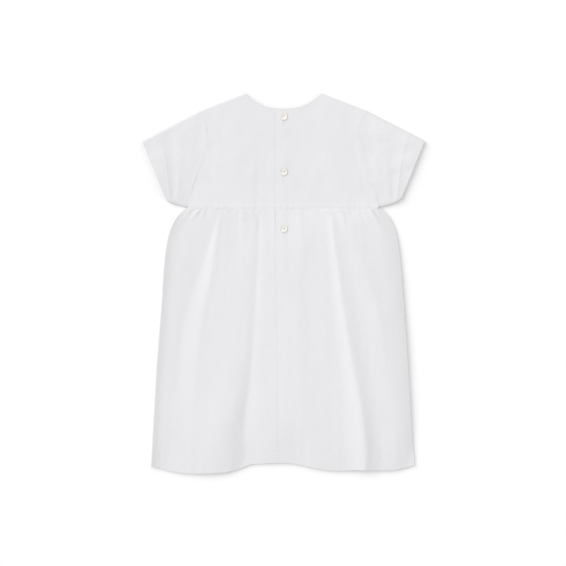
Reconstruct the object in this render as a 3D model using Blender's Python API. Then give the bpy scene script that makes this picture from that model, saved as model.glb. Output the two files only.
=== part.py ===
"""A toddler's short-sleeved dress with a gathered skirt, laid out flat with its back upwards.

The front panels lie on the surface, the back panels lie on them, and the folds of the skirt stand up
between the lines where the two touch. Each panel is a wall of cloth of its own, cut where the seams
run, with a hair's breadth of room at every seam. The neck, cuffs and hem are open.

All sizes are in millimetres: x is measured to the right from the dress's centre line, "down" from the
neck points towards the hem, and z up from the surface. place() turns them into Blender's metres.
"""

import math
from typing import NamedTuple

import bmesh
import bpy
import numpy as np
from mathutils import Vector

MM = 0.001

# The whole dress
LENGTH = 514.0
WAIST = 154.6
CLOTH = 1.2
GAP = 0.3

# Neck
NECK_HALF = 52.4
BACK_NECK_DEPTH = 20.4
FRONT_NECK_DEPTH = 52.0
NECK_FULLNESS = 2.3

# Armhole, drawn as one curve from the shoulder to the underarm, and the sleeve's outline
SHOULDER = (113.5, 23.8)
SHOULDER_HANDLE = (87.0, 58.0)
UNDERARM_HANDLE = (120.0, 106.0)
UNDERARM = (129.8, 154.1)
CUFF_TOP = (191.2, 64.0)
CUFF_LOW = (159.0, 144.0)
UNDERARM_BEND = (155.0, 150.0)
SLEEVE_HEM = 20.0

# Skirt, in plan. The tucks narrow it under the waist, each down to its reach.
SKIRT_LENGTH = LENGTH - WAIST
WAIST_HALF = 131.0
SWELL = 27.0
SWELL_REACH = 18.0
FLARE = 0.054
LEFT_TUCK = 1.7
LEFT_TUCK_REACH = 90.0
RIGHT_TUCK = 3.2
RIGHT_TUCK_REACH = 230.0
LEFT_MORE = 2.1
LEFT_MORE_START = 110.0
LEFT_MORE_REACH = 120.0
SKIRT_HEM = 22.0
FRONT_HEM_SETBACK = 3.0
OUTLINE_POWER = 4
SETBACK_POWER = 8

# Centre back opening: the right half laps over the left one
LAP = 9.7
OPENING_DEPTH = 103.0
OPENING_MARGIN = 5.0
SEAM_AT_HEM = -7.2
LAP_DROP = CLOTH + GAP
LAP_REACH = 20.0
DIP_START = 7.0
DIP_RUN = 6.0
DIP_END = 14.0

# How high the upper layer stands
SEAM_LIFT = 2.4
BODICE_LIFT = 4.8
WAIST_LIFT = 5.4
WAIST_RISE = 22.0
SKIRT_LOFT = 5.5
LOFT_REACH = 60.0
HEM_FALL = 5.0
HEM_FALL_REACH = 100.0
HEM_FALL_POWER = 2.1
LEFT_RIM = 3.2
LEFT_RIM_REACH = 17.0
RIGHT_FALL = 4.2
RIGHT_FALL_REACH = 27.0
SIDE_GROWTH = 20.0
SIDE_START = 0.5
LOWEST_UPPER = 3.3
CREST = 0.16

# Soft swell of the bodice on either side
SWELL_LIFT = 0.5
SWELL_X = 66.0
SWELL_HALF = 34.0
SWELL_TOP = 60.0
SWELL_LOW = 30.0

# Half the step over which a slope is measured
SLOPE_STEP = 0.5

# How far in from an edge the cloth starts to roll down to it
EDGE_ROLL = 5.0
ROLL_RATE = 1.8
SHOULDER_ROLL = 3.2

# How the bodice's columns are shared out and fan out towards the waist
SHOULDER_SPANS = 4
WAIST_FAN = 0.25
BACK_NECK_PLACES = (45.0, 36.0, 27.0, 18.2, 12.2, 3.0, -4.0)
FRONT_NECK_PLACES = (50.0, 44.0, 35.0, 24.0, 12.0)
ARMHOLE_POINTS = 7

# Sleeves: their lift, their creases and their sections from the armhole to the cuff
CUFF_LIFT = 7.5
CUFF_ROLL = 4.5
CUFF_RISE_SHARE = 0.7
CREASE_START = 0.3
CREASE_END = 0.25
UNDER_NEAR = 0.97
SLEEVE_SPANS = 8
SLEEVE_SAMPLES = 24

# Relief of the turned and stitched edges
HEM_RELIEF = 0.35
HEM_STEP = 0.75
SEAM_RELIEF = 0.5
SEAM_BAND = 5.5
NECK_RELIEF = 0.25
NECK_BAND = 3.5
ARMHOLE_RELIEF = 0.3
ARMHOLE_BAND = 0.08

# Buttons
BUTTON_RADIUS = 5.4
BUTTON_THICK = 1.6
BUTTON_HOLE_RADIUS = 0.85
BUTTON_HOLE_SPACING = 3.2
BUTTON_SIDES = 28
BUTTON_HOLE_SIDES = 12


class Fold(NamedTuple):
    """A large fold at one depth: where its line runs, how far it stands up, how wide its flanks are."""

    depth: float
    x: float
    lift: float
    left_flank: float
    right_flank: float


class Gather(NamedTuple):
    """A short fold that starts at the waist seam, drifts sideways and dies out at its reach."""

    x: float
    drift: float
    lift: float
    left_flank: float
    right_flank: float
    reach: float


class Crease(NamedTuple):
    """A soft crease along a sleeve: its place at the armhole, its drift to the cuff, width and lift."""

    place: float
    drift: float
    half_width: float
    lift: float


class Station(NamedTuple):
    """A point of the hem's outline: how far it lies above the lowest point of the hem."""

    x: float
    rise: float


class Button(NamedTuple):
    """A button on the centre line: how far down it sits and how its holes are turned."""

    name: str
    down: float
    turn: float


BACK_FOLDS = {
    "left_hollow": (
        Fold(0.0, -91.2, -0.38, 59.3, 9.2),
        Fold(46.0, -100.1, -1.73, 60.0, 12.2),
        Fold(111.0, -121.0, -2.11, 35.0, 36.5),
        Fold(219.0, -141.0, -0.76, 17.7, 41.9),
        Fold(293.0, -148.7, -0.25, 17.0, 41.3),
        Fold(359.0, -158.5, -0.62, 19.7, 41.2),
    ),
    "left_ridge": (
        Fold(0.0, -85.1, 0.28, 5.0, 9.1),
        Fold(46.0, -91.8, 0.28, 9.7, 7.7),
        Fold(111.0, -101.6, 0.81, 15.9, 11.6),
        Fold(219.0, -118.3, 0.81, 27.7, 20.2),
        Fold(293.0, -122.5, 0.23, 31.6, 17.6),
        Fold(359.0, -125.6, 0.38, 32.7, 15.4),
    ),
    "left_swell": (
        Fold(0.0, -59.3, -0.85, 50.6, 55.0),
        Fold(46.0, -65.3, -1.16, 60.0, 56.4),
        Fold(111.0, -68.7, -0.21, 60.0, 56.7),
        Fold(219.0, -71.9, 0.95, 54.1, 60.0),
        Fold(293.0, -84.4, 1.96, 58.8, 60.0),
        Fold(359.0, -96.9, 2.13, 56.5, 60.0),
    ),
    "left_valley": (
        Fold(0.0, -34.7, -0.13, 5.9, 9.6),
        Fold(46.0, -33.2, -0.68, 10.7, 9.8),
        Fold(111.0, -36.3, -0.88, 15.5, 11.0),
        Fold(219.0, -43.6, -1.34, 16.1, 17.3),
        Fold(293.0, -52.0, -2.79, 23.2, 34.3),
        Fold(359.0, -49.8, -2.77, 28.1, 40.0),
    ),
    "middle_swell": (
        Fold(0.0, 30.7, 0.92, 60.0, 60.0),
        Fold(46.0, 28.6, 2.35, 60.0, 60.0),
        Fold(111.0, 28.3, 1.18, 60.0, 60.0),
        Fold(219.0, 25.7, 1.37, 60.0, 60.0),
        Fold(293.0, 27.0, 0.50, 60.0, 38.9),
        Fold(359.0, 27.4, -0.73, 60.0, 25.2),
    ),
    "middle_dip": (
        Fold(0.0, 34.0, -0.19, 11.6, 18.8),
        Fold(46.0, 35.4, -0.32, 13.3, 22.0),
        Fold(111.0, 34.7, -0.77, 26.6, 27.8),
        Fold(219.0, 37.7, -0.56, 34.5, 38.3),
        Fold(293.0, 42.9, 0.14, 36.7, 43.7),
        Fold(359.0, 48.5, 0.38, 37.5, 43.4),
    ),
    "right_ridge": (
        Fold(0.0, 65.0, 1.14, 15.9, 21.6),
        Fold(46.0, 68.8, 1.78, 12.1, 21.8),
        Fold(111.0, 78.1, 2.45, 16.1, 23.3),
        Fold(219.0, 95.2, 3.44, 22.4, 26.4),
        Fold(293.0, 106.9, 4.12, 29.9, 23.4),
        Fold(359.0, 110.3, 4.28, 30.7, 24.4),
    ),
    "far_right_ridge": (
        Fold(0.0, 86.4, 0.65, 51.9, 47.0),
        Fold(46.0, 94.9, 2.77, 60.0, 51.7),
        Fold(111.0, 117.3, 2.14, 60.0, 30.7),
        Fold(219.0, 137.0, 0.73, 52.4, 15.4),
        Fold(293.0, 145.9, 0.0, 38.2, 16.6),
        Fold(359.0, 149.6, 0.26, 35.7, 14.2),
    ),
}

FRONT_FOLDS = {
    "left_trough": (
        Fold(0.0, -82.0, 0.3, 8.0, 7.0),
        Fold(80.0, -93.0, 0.9, 16.0, 13.0),
        Fold(180.0, -106.0, 1.3, 20.0, 16.0),
        Fold(359.0, -124.0, 1.3, 22.0, 18.0),
    ),
    "middle_trough": (
        Fold(0.0, 2.0, 0.2, 8.0, 8.0),
        Fold(90.0, -1.0, 0.8, 18.0, 15.0),
        Fold(200.0, -7.0, 1.2, 22.0, 20.0),
        Fold(359.0, -14.0, 1.3, 24.0, 22.0),
    ),
    "right_trough": (
        Fold(0.0, 42.0, 0.2, 7.0, 7.0),
        Fold(110.0, 50.0, 0.7, 13.0, 15.0),
        Fold(220.0, 59.0, 1.1, 16.0, 18.0),
        Fold(359.0, 70.0, 1.3, 18.0, 20.0),
    ),
    "far_right_trough": (
        Fold(0.0, 96.0, 0.3, 7.0, 7.0),
        Fold(100.0, 114.0, 0.9, 13.0, 14.0),
        Fold(200.0, 129.0, 1.1, 16.0, 18.0),
        Fold(359.0, 147.0, 1.2, 16.0, 14.0),
    ),
}

# Folds that the back skirt's columns follow from the waist to the hem
BACK_GUIDES = ("left_ridge", "left_valley", "right_ridge", "far_right_ridge")

BACK_GATHERS = (
    Gather(-124.5, -27.7, 0.56, 7.5, 6.0, 45.5),
    Gather(-111.5, -18.0, 0.9, 5.0, 5.0, 22.0),
    Gather(-107.0, -3.0, 0.5, 3.0, 3.5, 20.0),
    Gather(-98.9, 6.8, 0.31, 3.5, 8.7, 30.8),
    Gather(-87.8, 4.8, -0.66, 3.6, 5.2, 8.0),
    Gather(-75.8, -0.4, 0.66, 2.9, 4.8, 8.6),
    Gather(-62.6, 2.8, 1.12, 6.4, 4.6, 8.0),
    Gather(-56.1, 2.4, 0.73, 5.5, 10.9, 60.0),
    Gather(-45.5, 10.8, 0.4, 6.4, 5.0, 36.1),
    Gather(-13.1, 3.5, 0.34, 6.1, 2.6, 60.0),
    Gather(0.7, -3.3, 0.25, 6.8, 5.5, 26.2),
    Gather(21.9, 4.3, 0.34, 7.7, 5.7, 60.0),
    Gather(33.4, 2.1, -0.17, 6.2, 4.8, 21.7),
    Gather(44.3, 5.5, 0.27, 8.5, 7.4, 32.2),
    Gather(54.4, 11.4, 0.85, 8.8, 11.2, 17.8),
    Gather(73.5, 4.5, 1.44, 7.3, 3.9, 8.0),
    Gather(78.8, 7.4, 0.68, 7.6, 3.9, 55.4),
    Gather(85.2, 0.1, 0.51, 5.9, 6.1, 19.0),
    Gather(100.6, 1.3, 0.47, 4.9, 5.6, 19.9),
    Gather(107.3, 14.3, 0.58, 3.9, 13.1, 33.9),
    Gather(115.8, 22.5, 1.36, 5.4, 5.0, 34.6),
    Gather(124.5, 10.9, 1.03, 3.1, 2.8, 13.1),
)

# How the gathers grow under the seam and widen on their way
GATHER_START = 0.3
GATHER_RISE = 5.0
GATHER_SPREAD = 0.6

# The front's gathers: an even row with an uneven part added to each value, turned by an angle a step
FRONT_GATHER_COUNT = 21
FRONT_GATHER_SPAN = 234.0
FRONT_GATHER_DRIFT = 0.10
FRONT_GATHER_FLANK = 4.6
PLACE_UNEVEN = 2.2
PLACE_TURN = 2.4
FRONT_GATHER_LIFT = 0.65
LIFT_UNEVEN = 0.2
LIFT_TURN = 1.7
FRONT_GATHER_REACH = 28.0
REACH_UNEVEN = 10.0
REACH_TURN = 2.9

SLEEVE_CREASES = (
    Crease(0.62, -0.25, 0.16, 0.6),
    Crease(0.30, -0.12, 0.14, -0.6),
)

# Widest spacing of the skirt's columns, and the steps of the under half beyond the opening's edge
BACK_COLUMN = 5.4
FRONT_COLUMN = 9.0
EDGE_CLEAR = 2.0
LAP_STEPS = (6.0, 14.0, 22.4)

HEM_OUTLINE = (
    Station(-177.0, 10.2),
    Station(-155.0, 3.6),
    Station(-103.0, 0.0),
    Station(-71.0, 3.0),
    Station(-57.0, 7.2),
    Station(-47.0, 11.2),
    Station(-26.0, 13.1),
    Station(9.0, 13.7),
    Station(22.0, 11.6),
    Station(47.0, 6.2),
    Station(68.0, 3.6),
    Station(105.0, 4.7),
    Station(128.0, 4.0),
    Station(152.0, 5.0),
    Station(177.0, 11.0),
)

# Depths under the waist seam where the skirt's sections are taken
BACK_SECTIONS = (4, 9, 16, 26, 40, 60, 80, 101, 118, 145, 180, 215, 250, 285, 312)
FRONT_SECTIONS = (5, 12, 22, 38, 62, 100, 145, 190, 235, 280)

# Angles round a rolled edge, from flat to upright
ROLL_ANGLES = (0.0, 30.0, 60.0, 90.0)

BUTTONS = (
    Button("button_upper", 31.0, 35.0),
    Button("button_middle", 105.7, 0.0),
    Button("button_lower", 182.9, 4.0),
)

LINEN = (0.82, 0.82, 0.835, 1.0)
PEARL = (0.80, 0.76, 0.70, 1.0)


# Small helpers


def mix(start, end, share):
    """Value a share of the way from start to end."""
    return start + (end - start) * share


def ease(share):
    """Soft step from 0 to 1 as share goes from 0 to 1."""
    held = min(max(share, 0.0), 1.0)
    return held * held * (3.0 - 2.0 * held)


def hump(offset, reach):
    """Height share of a round fold at an offset from its line, 0 beyond its reach."""
    return 0.5 + 0.5 * math.cos(math.pi * min(abs(offset) / reach, 1.0))


def peaked(offset):
    """Height share of a fold that is steepest beside its crest, 0 where the offset is 1 or more."""
    slant = (math.hypot(offset, CREST) - CREST) / (math.hypot(1.0, CREST) - CREST)
    return max(1.0 - slant, 0.0) ** 2


def fold_at(stations, depth):
    """A fold's line, lift and flanks at a depth."""
    depths = [station.depth for station in stations]
    return Fold(*[float(np.interp(depth, depths, values)) for values in zip(*stations)])


def place(x, down, z):
    """Blender position in metres of a point given in the dress's millimetres."""
    return (x * MM, (LENGTH / 2.0 - down) * MM, z * MM)


def fabric(name, colour, roughness):
    """Material with one colour and one roughness."""
    material = bpy.data.materials.new(name)
    material.use_nodes = True
    shader = material.node_tree.nodes["Principled BSDF"]
    shader.inputs["Base Color"].default_value = colour
    shader.inputs["Roughness"].default_value = roughness
    shader.inputs["Metallic"].default_value = 0.0
    return material


def add_object(name, build, material):
    """New object from a bmesh, which is freed, with its faces turned outwards."""
    bmesh.ops.recalc_face_normals(build, faces=build.faces)
    mesh = bpy.data.meshes.new(name)
    build.to_mesh(mesh)
    build.free()
    mesh.materials.append(material)
    body = bpy.data.objects.new(name, mesh)
    bpy.context.collection.objects.link(body)
    return body


def cloth_wall(name, outer, inner, material, kept=None, ring=False):
    """Wall of cloth between two matching grids of points, closed along every free edge.

    kept leaves cells of the grid out, and ring joins its last column to its first.
    """
    rows, columns = outer.shape[:2]
    spans = columns if ring else columns - 1
    if kept is None:
        kept = np.ones((rows - 1, spans), dtype=bool)
    build = bmesh.new()
    made = {}

    def corner(face, row, column):
        key = (face, row, column % columns)
        if key not in made:
            grid = outer if face == 0 else inner
            made[key] = build.verts.new(place(*grid[row, column % columns]))
        return made[key]

    def is_kept(row, column):
        if ring:
            column %= columns
        return 0 <= row < rows - 1 and 0 <= column < spans and kept[row, column]

    def rim(first, second):
        build.faces.new((corner(0, *first), corner(0, *second), corner(1, *second), corner(1, *first)))

    for row in range(rows - 1):
        for column in range(spans):
            if not is_kept(row, column):
                continue
            cell = ((row, column), (row, column + 1), (row + 1, column + 1), (row + 1, column))
            build.faces.new([corner(0, *point) for point in cell])
            build.faces.new([corner(1, *point) for point in reversed(cell)])
            beside = ((row - 1, column), (row, column + 1), (row + 1, column), (row, column - 1))
            for side in range(4):
                if not is_kept(*beside[side]):
                    rim(cell[(side + 1) % 4], cell[side])
    return add_object(name, build, material)


def resampled(path, distances):
    """Points of a path at the given distances along it."""
    steps = np.hypot(*np.diff(path, axis=0).T)
    travelled = np.concatenate(([0.0], np.cumsum(steps)))
    return np.array([[np.interp(at, travelled, path[:, axis]) for axis in (0, 1)] for at in distances])


def path_length(path):
    """Length of a path."""
    return float(np.hypot(*np.diff(path, axis=0).T).sum())


def bezier(points, count=160):
    """Points along a Bezier curve of any degree."""
    shares = np.linspace(0.0, 1.0, count)[:, None]
    degree = len(points) - 1
    total = np.zeros((count, 2))
    for index, point in enumerate(points):
        weight = math.comb(degree, index) * (1.0 - shares) ** (degree - index) * shares ** index
        total += weight * np.array(point)
    return total


def patch(bottom, top, left, right, shares):
    """Grid of plan points between four edges: one row for each point of left, one column for each of bottom.

    shares says how far each column follows the right edge and not the left one.
    """
    rows, columns = len(left), len(bottom)
    travelled = np.concatenate(([0.0], np.cumsum(np.hypot(*np.diff(left, axis=0).T))))
    grid = np.zeros((rows, columns, 2))
    for row in range(rows):
        up = travelled[row] / travelled[-1]
        for column in range(columns):
            across = shares[column]
            between_ends = mix(bottom[column], top[column], up) + mix(left[row], right[row], across)
            corners = mix(mix(bottom[0], bottom[-1], across), mix(top[0], top[-1], across), up)
            grid[row, column] = between_ends - corners
    return grid


# The dress's outlines in plan, for its right side; the left one is the mirror image


def neck_down(x, depth):
    """How far down the neck edge runs at x."""
    return depth * (1.0 - min(abs(x) / NECK_HALF, 1.0) ** NECK_FULLNESS)


def roll_distances(length, middle_count):
    """Distances along a seam of this length: close at both rolled ends, even between them."""
    ends = [SHOULDER_ROLL * (1.0 - math.sin(math.radians(angle))) for angle in reversed(ROLL_ANGLES)]
    middle = np.linspace(SHOULDER_ROLL, length - SHOULDER_ROLL, middle_count + 2)[1:-1]
    return ends + list(middle) + [length - end for end in reversed(ends)]


ARMHOLE = bezier((SHOULDER, SHOULDER_HANDLE, UNDERARM_HANDLE, UNDERARM))
ARMHOLE_LENGTH = path_length(ARMHOLE)
ARMHOLE_STEPS = roll_distances(ARMHOLE_LENGTH, ARMHOLE_POINTS)


def armhole_edge(outward):
    """Points of the armhole from shoulder to underarm, moved away from the body by outward."""
    points = resampled(ARMHOLE, ARMHOLE_STEPS)
    tangents = np.gradient(ARMHOLE, axis=0)
    slopes = np.hypot(*tangents.T)
    steps = np.concatenate(([0.0], np.cumsum(np.hypot(*np.diff(ARMHOLE, axis=0).T))))
    moved = []
    for distance, point in zip(ARMHOLE_STEPS, points):
        along = np.array([np.interp(distance, steps, tangents[:, axis] / slopes) for axis in (0, 1)])
        moved.append(point + outward * np.array([along[1], -along[0]]))
    return np.array(moved)


def shoulder_distance(x, down):
    """Distance of a plan point from the line of the shoulder fold."""
    run = SHOULDER[0] - NECK_HALF
    drop = SHOULDER[1]
    return (down * run - (abs(x) - NECK_HALF) * drop) / math.hypot(run, drop)


def roll_share(distance, reach):
    """Sine of the angle that a rolled edge has turned through at a distance from its outermost line."""
    return 1.0 - min(max(distance / reach, 0.0), 1.0)


OVER_OUT = Vector((0.40, -0.917))


# Bodice


def bodice_edge_turn(x, down):
    """How far the bodice has turned over at a point, 0 to 1, and the plan direction it turns to."""
    shoulder = roll_share(shoulder_distance(x, down), SHOULDER_ROLL)
    away = Vector((UNDERARM[0] - abs(x), UNDERARM[1] - down))
    corner = roll_share(away.length, SHOULDER_ROLL)
    side = math.copysign(1.0, x)
    if shoulder >= corner:
        return shoulder, Vector((side * OVER_OUT.x, OVER_OUT.y))
    if away.length < GAP or down > UNDERARM[1]:
        return corner, Vector((side, 0.0))
    return corner, Vector((side * away.x, away.y)) / away.length


def back_bodice_height(x, down):
    """Height of the back bodice's outer face away from its rolled edges."""
    waist_rise = (WAIST_LIFT - BODICE_LIFT) * ease(1.0 - (WAIST - down) / WAIST_RISE)
    side_rise = SWELL_LIFT * hump(abs(x) - SWELL_X, SWELL_HALF)
    return BODICE_LIFT + waist_rise + side_rise * ease(down / SWELL_TOP) * ease((WAIST - down) / SWELL_LOW)


def bodice_relief(down, edge_down):
    """Relief of the back bodice: the turned neck edge and the seam allowance above the waist."""
    neck = NECK_RELIEF if down - edge_down < NECK_BAND else 0.0
    waist = SEAM_RELIEF if WAIST - down < SEAM_BAND else 0.0
    return max(neck, waist)


def lap_share(x, depth):
    """How far the left half has dipped under the right one, 0 to 1."""
    across = ease((x - seam_x(depth) + DIP_START) / DIP_RUN)
    return across * (1.0 - ease((depth - OPENING_DEPTH) / DIP_END))


def bodice_grid(plan, upper, dips):
    """Outer and inner faces of a bodice panel over its plan."""
    outer = np.zeros(plan.shape[:2] + (3,))
    inner = np.zeros_like(outer)
    for row in range(plan.shape[0]):
        for column in range(plan.shape[1]):
            x, down = plan[row, column]
            turn, direction = bodice_edge_turn(x, down)
            upright = math.sqrt(1.0 - turn * turn)
            if upper:
                flat = back_bodice_height(x, down)
                flat += bodice_relief(down, plan[-1, column, 1])
                if dips:
                    flat -= LAP_DROP * lap_share(x, 0.0)
                z = SEAM_LIFT + max((flat - SEAM_LIFT) * upright, GAP / 2.0)
                step = -CLOTH * upright
            else:
                z = SEAM_LIFT - max(SEAM_LIFT * upright, GAP / 2.0)
                step = CLOTH * upright
            outer[row, column] = (x, down, z)
            sideways = -CLOTH * turn
            inner[row, column] = (x + sideways * direction.x, down + sideways * direction.y, z + step)
    inner[0, :, 1] = outer[0, :, 1]
    return outer, inner


def shoulder_and_neck(neck_places, depth):
    """Top edge of a bodice panel from the armhole over the neck point and along the neck edge."""
    outer_end = armhole_edge(-GAP / 2.0)[0]
    neck_point = np.array((NECK_HALF, 0.0))
    shoulder = [mix(outer_end, neck_point, step / SHOULDER_SPANS) for step in range(SHOULDER_SPANS)]
    neck = [np.array((x, neck_down(x, depth))) for x in neck_places]
    return np.array(shoulder + neck)


def waist_edge(start_x, neck_places):
    """Bottom edge of a bodice panel: its columns run straight down near the centre and fan out beyond."""
    def fanned(x):
        return x * (1.0 + WAIST_FAN * (x / NECK_HALF) ** 2)

    below_neck_point = fanned(NECK_HALF)
    outer = [mix(start_x, below_neck_point, step / SHOULDER_SPANS) for step in range(SHOULDER_SPANS)]
    down = WAIST - GAP / 2.0
    return np.array([(x, down) for x in outer + [fanned(x) for x in neck_places]])


def edge_shares(top):
    """How far each column of a half bodice follows the centre edge: wholly within the lap's reach."""
    return [1.0 - max(point[0] - LAP_REACH, 0.0) / (top[0, 0] - LAP_REACH) for point in top]


def centre_edge(x, top_down):
    """Edge of a back half along the opening, from the waist up to the neck."""
    length = WAIST - GAP / 2.0 - top_down
    shares = [step / ARMHOLE_LENGTH for step in reversed(ARMHOLE_STEPS)]
    return np.array([(x, top_down + length * share) for share in shares])


def back_bodice(name, side, material):
    """One half of the back bodice; side is 1 for the upper right half and -1 for the lower left one."""
    end_x = -LAP
    armhole = armhole_edge(-GAP / 2.0)[::-1]
    armhole[0, 1] = WAIST - GAP / 2.0
    neck_places = (NECK_HALF, *BACK_NECK_PLACES, end_x)
    top = shoulder_and_neck(neck_places, BACK_NECK_DEPTH)
    bottom = waist_edge(armhole[0, 0], neck_places)
    centre = centre_edge(end_x, neck_down(end_x, BACK_NECK_DEPTH))
    plan = patch(bottom, top, armhole, centre, edge_shares(top))
    plan[:, :, 0] *= side
    outer, inner = bodice_grid(plan, upper=True, dips=side < 0)
    return cloth_wall(name, outer, inner, material)


def front_bodice(name, material):
    """The front bodice, flat on the surface, with the deeper neck."""
    armhole = armhole_edge(-GAP / 2.0)[::-1]
    armhole[0, 1] = WAIST - GAP / 2.0
    neck_places = (NECK_HALF, *FRONT_NECK_PLACES, 0.0)
    half_top = shoulder_and_neck(neck_places, FRONT_NECK_DEPTH)
    half_bottom = waist_edge(armhole[0, 0], neck_places)
    flip = np.array((-1.0, 1.0))
    top = np.concatenate((half_top, half_top[-2::-1] * flip))
    bottom = np.concatenate((half_bottom, half_bottom[-2::-1] * flip))
    shares = np.linspace(0.0, 1.0, len(top))
    plan = patch(bottom, top, armhole, armhole * flip, shares)
    outer, inner = bodice_grid(plan, upper=False, dips=False)
    return cloth_wall(name, outer, inner, material)


# Sleeves


def sleeve_plan(station, share):
    """Plan point of the right sleeve, from armhole to cuff and from the overarm to the underarm."""
    armhole = armhole_edge(GAP / 2.0)
    shares = [step / ARMHOLE_LENGTH for step in ARMHOLE_STEPS]
    at_armhole = np.array([np.interp(share, shares, armhole[:, axis]) for axis in (0, 1)])
    over, under = armhole[0], armhole[-1]
    cuff_top, cuff_low = np.array(CUFF_TOP), np.array(CUFF_LOW)
    at_cuff = mix(cuff_top, cuff_low, share)
    over_edge = mix(over, cuff_top, station)
    lower = bezier((under, UNDERARM_BEND, cuff_low))
    under_edge = resampled(lower, [station * path_length(lower)])[0]
    corners = mix(mix(over, under, share), mix(cuff_top, cuff_low, share), station)
    return mix(at_armhole, at_cuff, station) + mix(over_edge, under_edge, share) - corners


def sleeve_height(station, share):
    """Height of the sleeve's upper face away from its rolled edges."""
    lift = mix(BODICE_LIFT, CUFF_LIFT, ease(station / CUFF_RISE_SHARE))
    held = ease(station / CREASE_START) * ease((1.0 - station) / CREASE_END)
    for crease in SLEEVE_CREASES:
        offset = share - crease.place - crease.drift * station
        lift += crease.lift * held * hump(offset, crease.half_width)
    return lift


OVERARM = math.dist(SHOULDER, CUFF_TOP)
HEM_STATION = 1.0 - SLEEVE_HEM / OVERARM
SLEEVE_STATIONS = (0.0, 0.06, 0.11, 0.27, 0.44, 0.6, HEM_STATION - 0.02, HEM_STATION, 0.89, 1.0)


def sleeve_relief(station):
    """Relief of the sleeve: the seam allowance by the armhole and the turned hem."""
    if station < ARMHOLE_BAND:
        return ARMHOLE_RELIEF
    return HEM_RELIEF if station >= HEM_STATION else 0.0


def sleeve_layer(station, upper):
    """Outer and inner points of one layer of a sleeve section, from the overarm to the underarm."""
    section = np.array([sleeve_plan(station, share) for share in np.linspace(0.0, 1.0, SLEEVE_SAMPLES)])
    length = path_length(section) if station > 0.0 else ARMHOLE_LENGTH
    reach = mix(SHOULDER_ROLL, CUFF_ROLL if upper else SHOULDER_ROLL, ease(station))
    turns = [math.radians(angle) for angle in reversed(ROLL_ANGLES)]
    ends = [reach * (1.0 - math.sin(turn)) / length for turn in turns]
    middle = [mix(ends[-1], 1.0 - ends[-1], step / SLEEVE_SPANS) for step in range(1, SLEEVE_SPANS)]
    under_out = Vector(sleeve_plan(station, 1.0) - sleeve_plan(station, UNDER_NEAR)).normalized()
    points = [(share, turn, OVER_OUT) for share, turn in zip(ends, turns)]
    points += [(share, 0.0, OVER_OUT) for share in middle]
    points += [(1.0 - share, turn, under_out) for share, turn in zip(reversed(ends), reversed(turns))]
    outer, inner = [], []
    for share, turn, out in points:
        x, down = sleeve_plan(station, share)
        if upper:
            top = sleeve_height(station, share) + sleeve_relief(station)
            z = SEAM_LIFT + (top - SEAM_LIFT) * math.cos(turn)
            step = -CLOTH * math.cos(turn)
        else:
            z = SEAM_LIFT * (1.0 - math.cos(turn))
            step = CLOTH * math.cos(turn)
        sideways = CLOTH * math.sin(turn)
        outer.append((x, down, z))
        inner.append((x - sideways * out.x, down - sideways * out.y, z + step))
    return outer, inner


def sleeve(name, side, material):
    """One sleeve: a flattened tube, open at the armhole and at the cuff."""
    outer, inner = [], []
    for station in SLEEVE_STATIONS:
        upper_outer, upper_inner = sleeve_layer(station, upper=True)
        lower_outer, lower_inner = sleeve_layer(station, upper=False)
        outer.append(upper_outer + lower_outer[-2:0:-1])
        inner.append(upper_inner + lower_inner[-2:0:-1])
    flip = np.array((side, 1.0, 1.0))
    return cloth_wall(name, np.array(outer) * flip, np.array(inner) * flip, material, ring=True)


# Skirt


def half_width(depth, side):
    """Width of the skirt at a depth under the waist, from its middle to one side."""
    tuck, reach = (LEFT_TUCK, LEFT_TUCK_REACH) if side < 0 else (RIGHT_TUCK, RIGHT_TUCK_REACH)
    more = LEFT_MORE * ease((depth - LEFT_MORE_START) / LEFT_MORE_REACH) if side < 0 else 0.0
    swell = SWELL - tuck * (1.0 - ease(depth / reach))
    return WAIST_HALF + swell * (1.0 - math.exp(-depth / SWELL_REACH)) + FLARE * depth + more


def seam_x(depth):
    """Where the edge of the opening, and below it the centre back seam, runs."""
    return mix(-LAP, SEAM_AT_HEM, max(depth - OPENING_DEPTH, 0.0) / (SKIRT_LENGTH - OPENING_DEPTH))


def hem_rise(x):
    """How far the hem lies above its lowest point at x."""
    return float(np.interp(x, [point.x for point in HEM_OUTLINE], [point.rise for point in HEM_OUTLINE]))


def skirt_down(x, depth):
    """Distance down from the neck points of a section's point: the sections follow the hem's outline."""
    return WAIST + depth - hem_rise(x) * (depth / SKIRT_LENGTH) ** OUTLINE_POWER


def folds_height(x, depth, folds):
    """What the large folds add to the height."""
    total = 0.0
    for stations in folds.values():
        fold = fold_at(stations, depth)
        offset = x - fold.x
        total += fold.lift * peaked(offset / (fold.left_flank if offset < 0.0 else fold.right_flank))
    return total


def gathers_height(x, depth, gathers):
    """What the gathers under the waist seam add to the height."""
    total = 0.0
    for gather in gathers:
        if depth >= gather.reach:
            continue
        share = depth / gather.reach
        offset = x - gather.x - gather.drift * share
        flank = gather.left_flank if offset < 0.0 else gather.right_flank
        strength = mix(GATHER_START, 1.0, ease(depth / GATHER_RISE)) * (1.0 - ease(share))
        total += gather.lift * strength * hump(offset, flank * (1.0 + GATHER_SPREAD * share))
    return total


def front_gathers():
    """Gathers of the front skirt: unevenly spaced troughs in its underside."""
    made = []
    for index in range(FRONT_GATHER_COUNT):
        even = FRONT_GATHER_SPAN * (index / (FRONT_GATHER_COUNT - 1) - 0.5)
        x = even + PLACE_UNEVEN * math.sin(PLACE_TURN * index)
        lift = FRONT_GATHER_LIFT + LIFT_UNEVEN * math.sin(LIFT_TURN * index)
        reach = FRONT_GATHER_REACH + REACH_UNEVEN * math.sin(REACH_TURN * index)
        made.append(Gather(x, FRONT_GATHER_DRIFT * x, lift, FRONT_GATHER_FLANK, FRONT_GATHER_FLANK, reach))
    return tuple(made)


FRONT_GATHERS = front_gathers()


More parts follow.
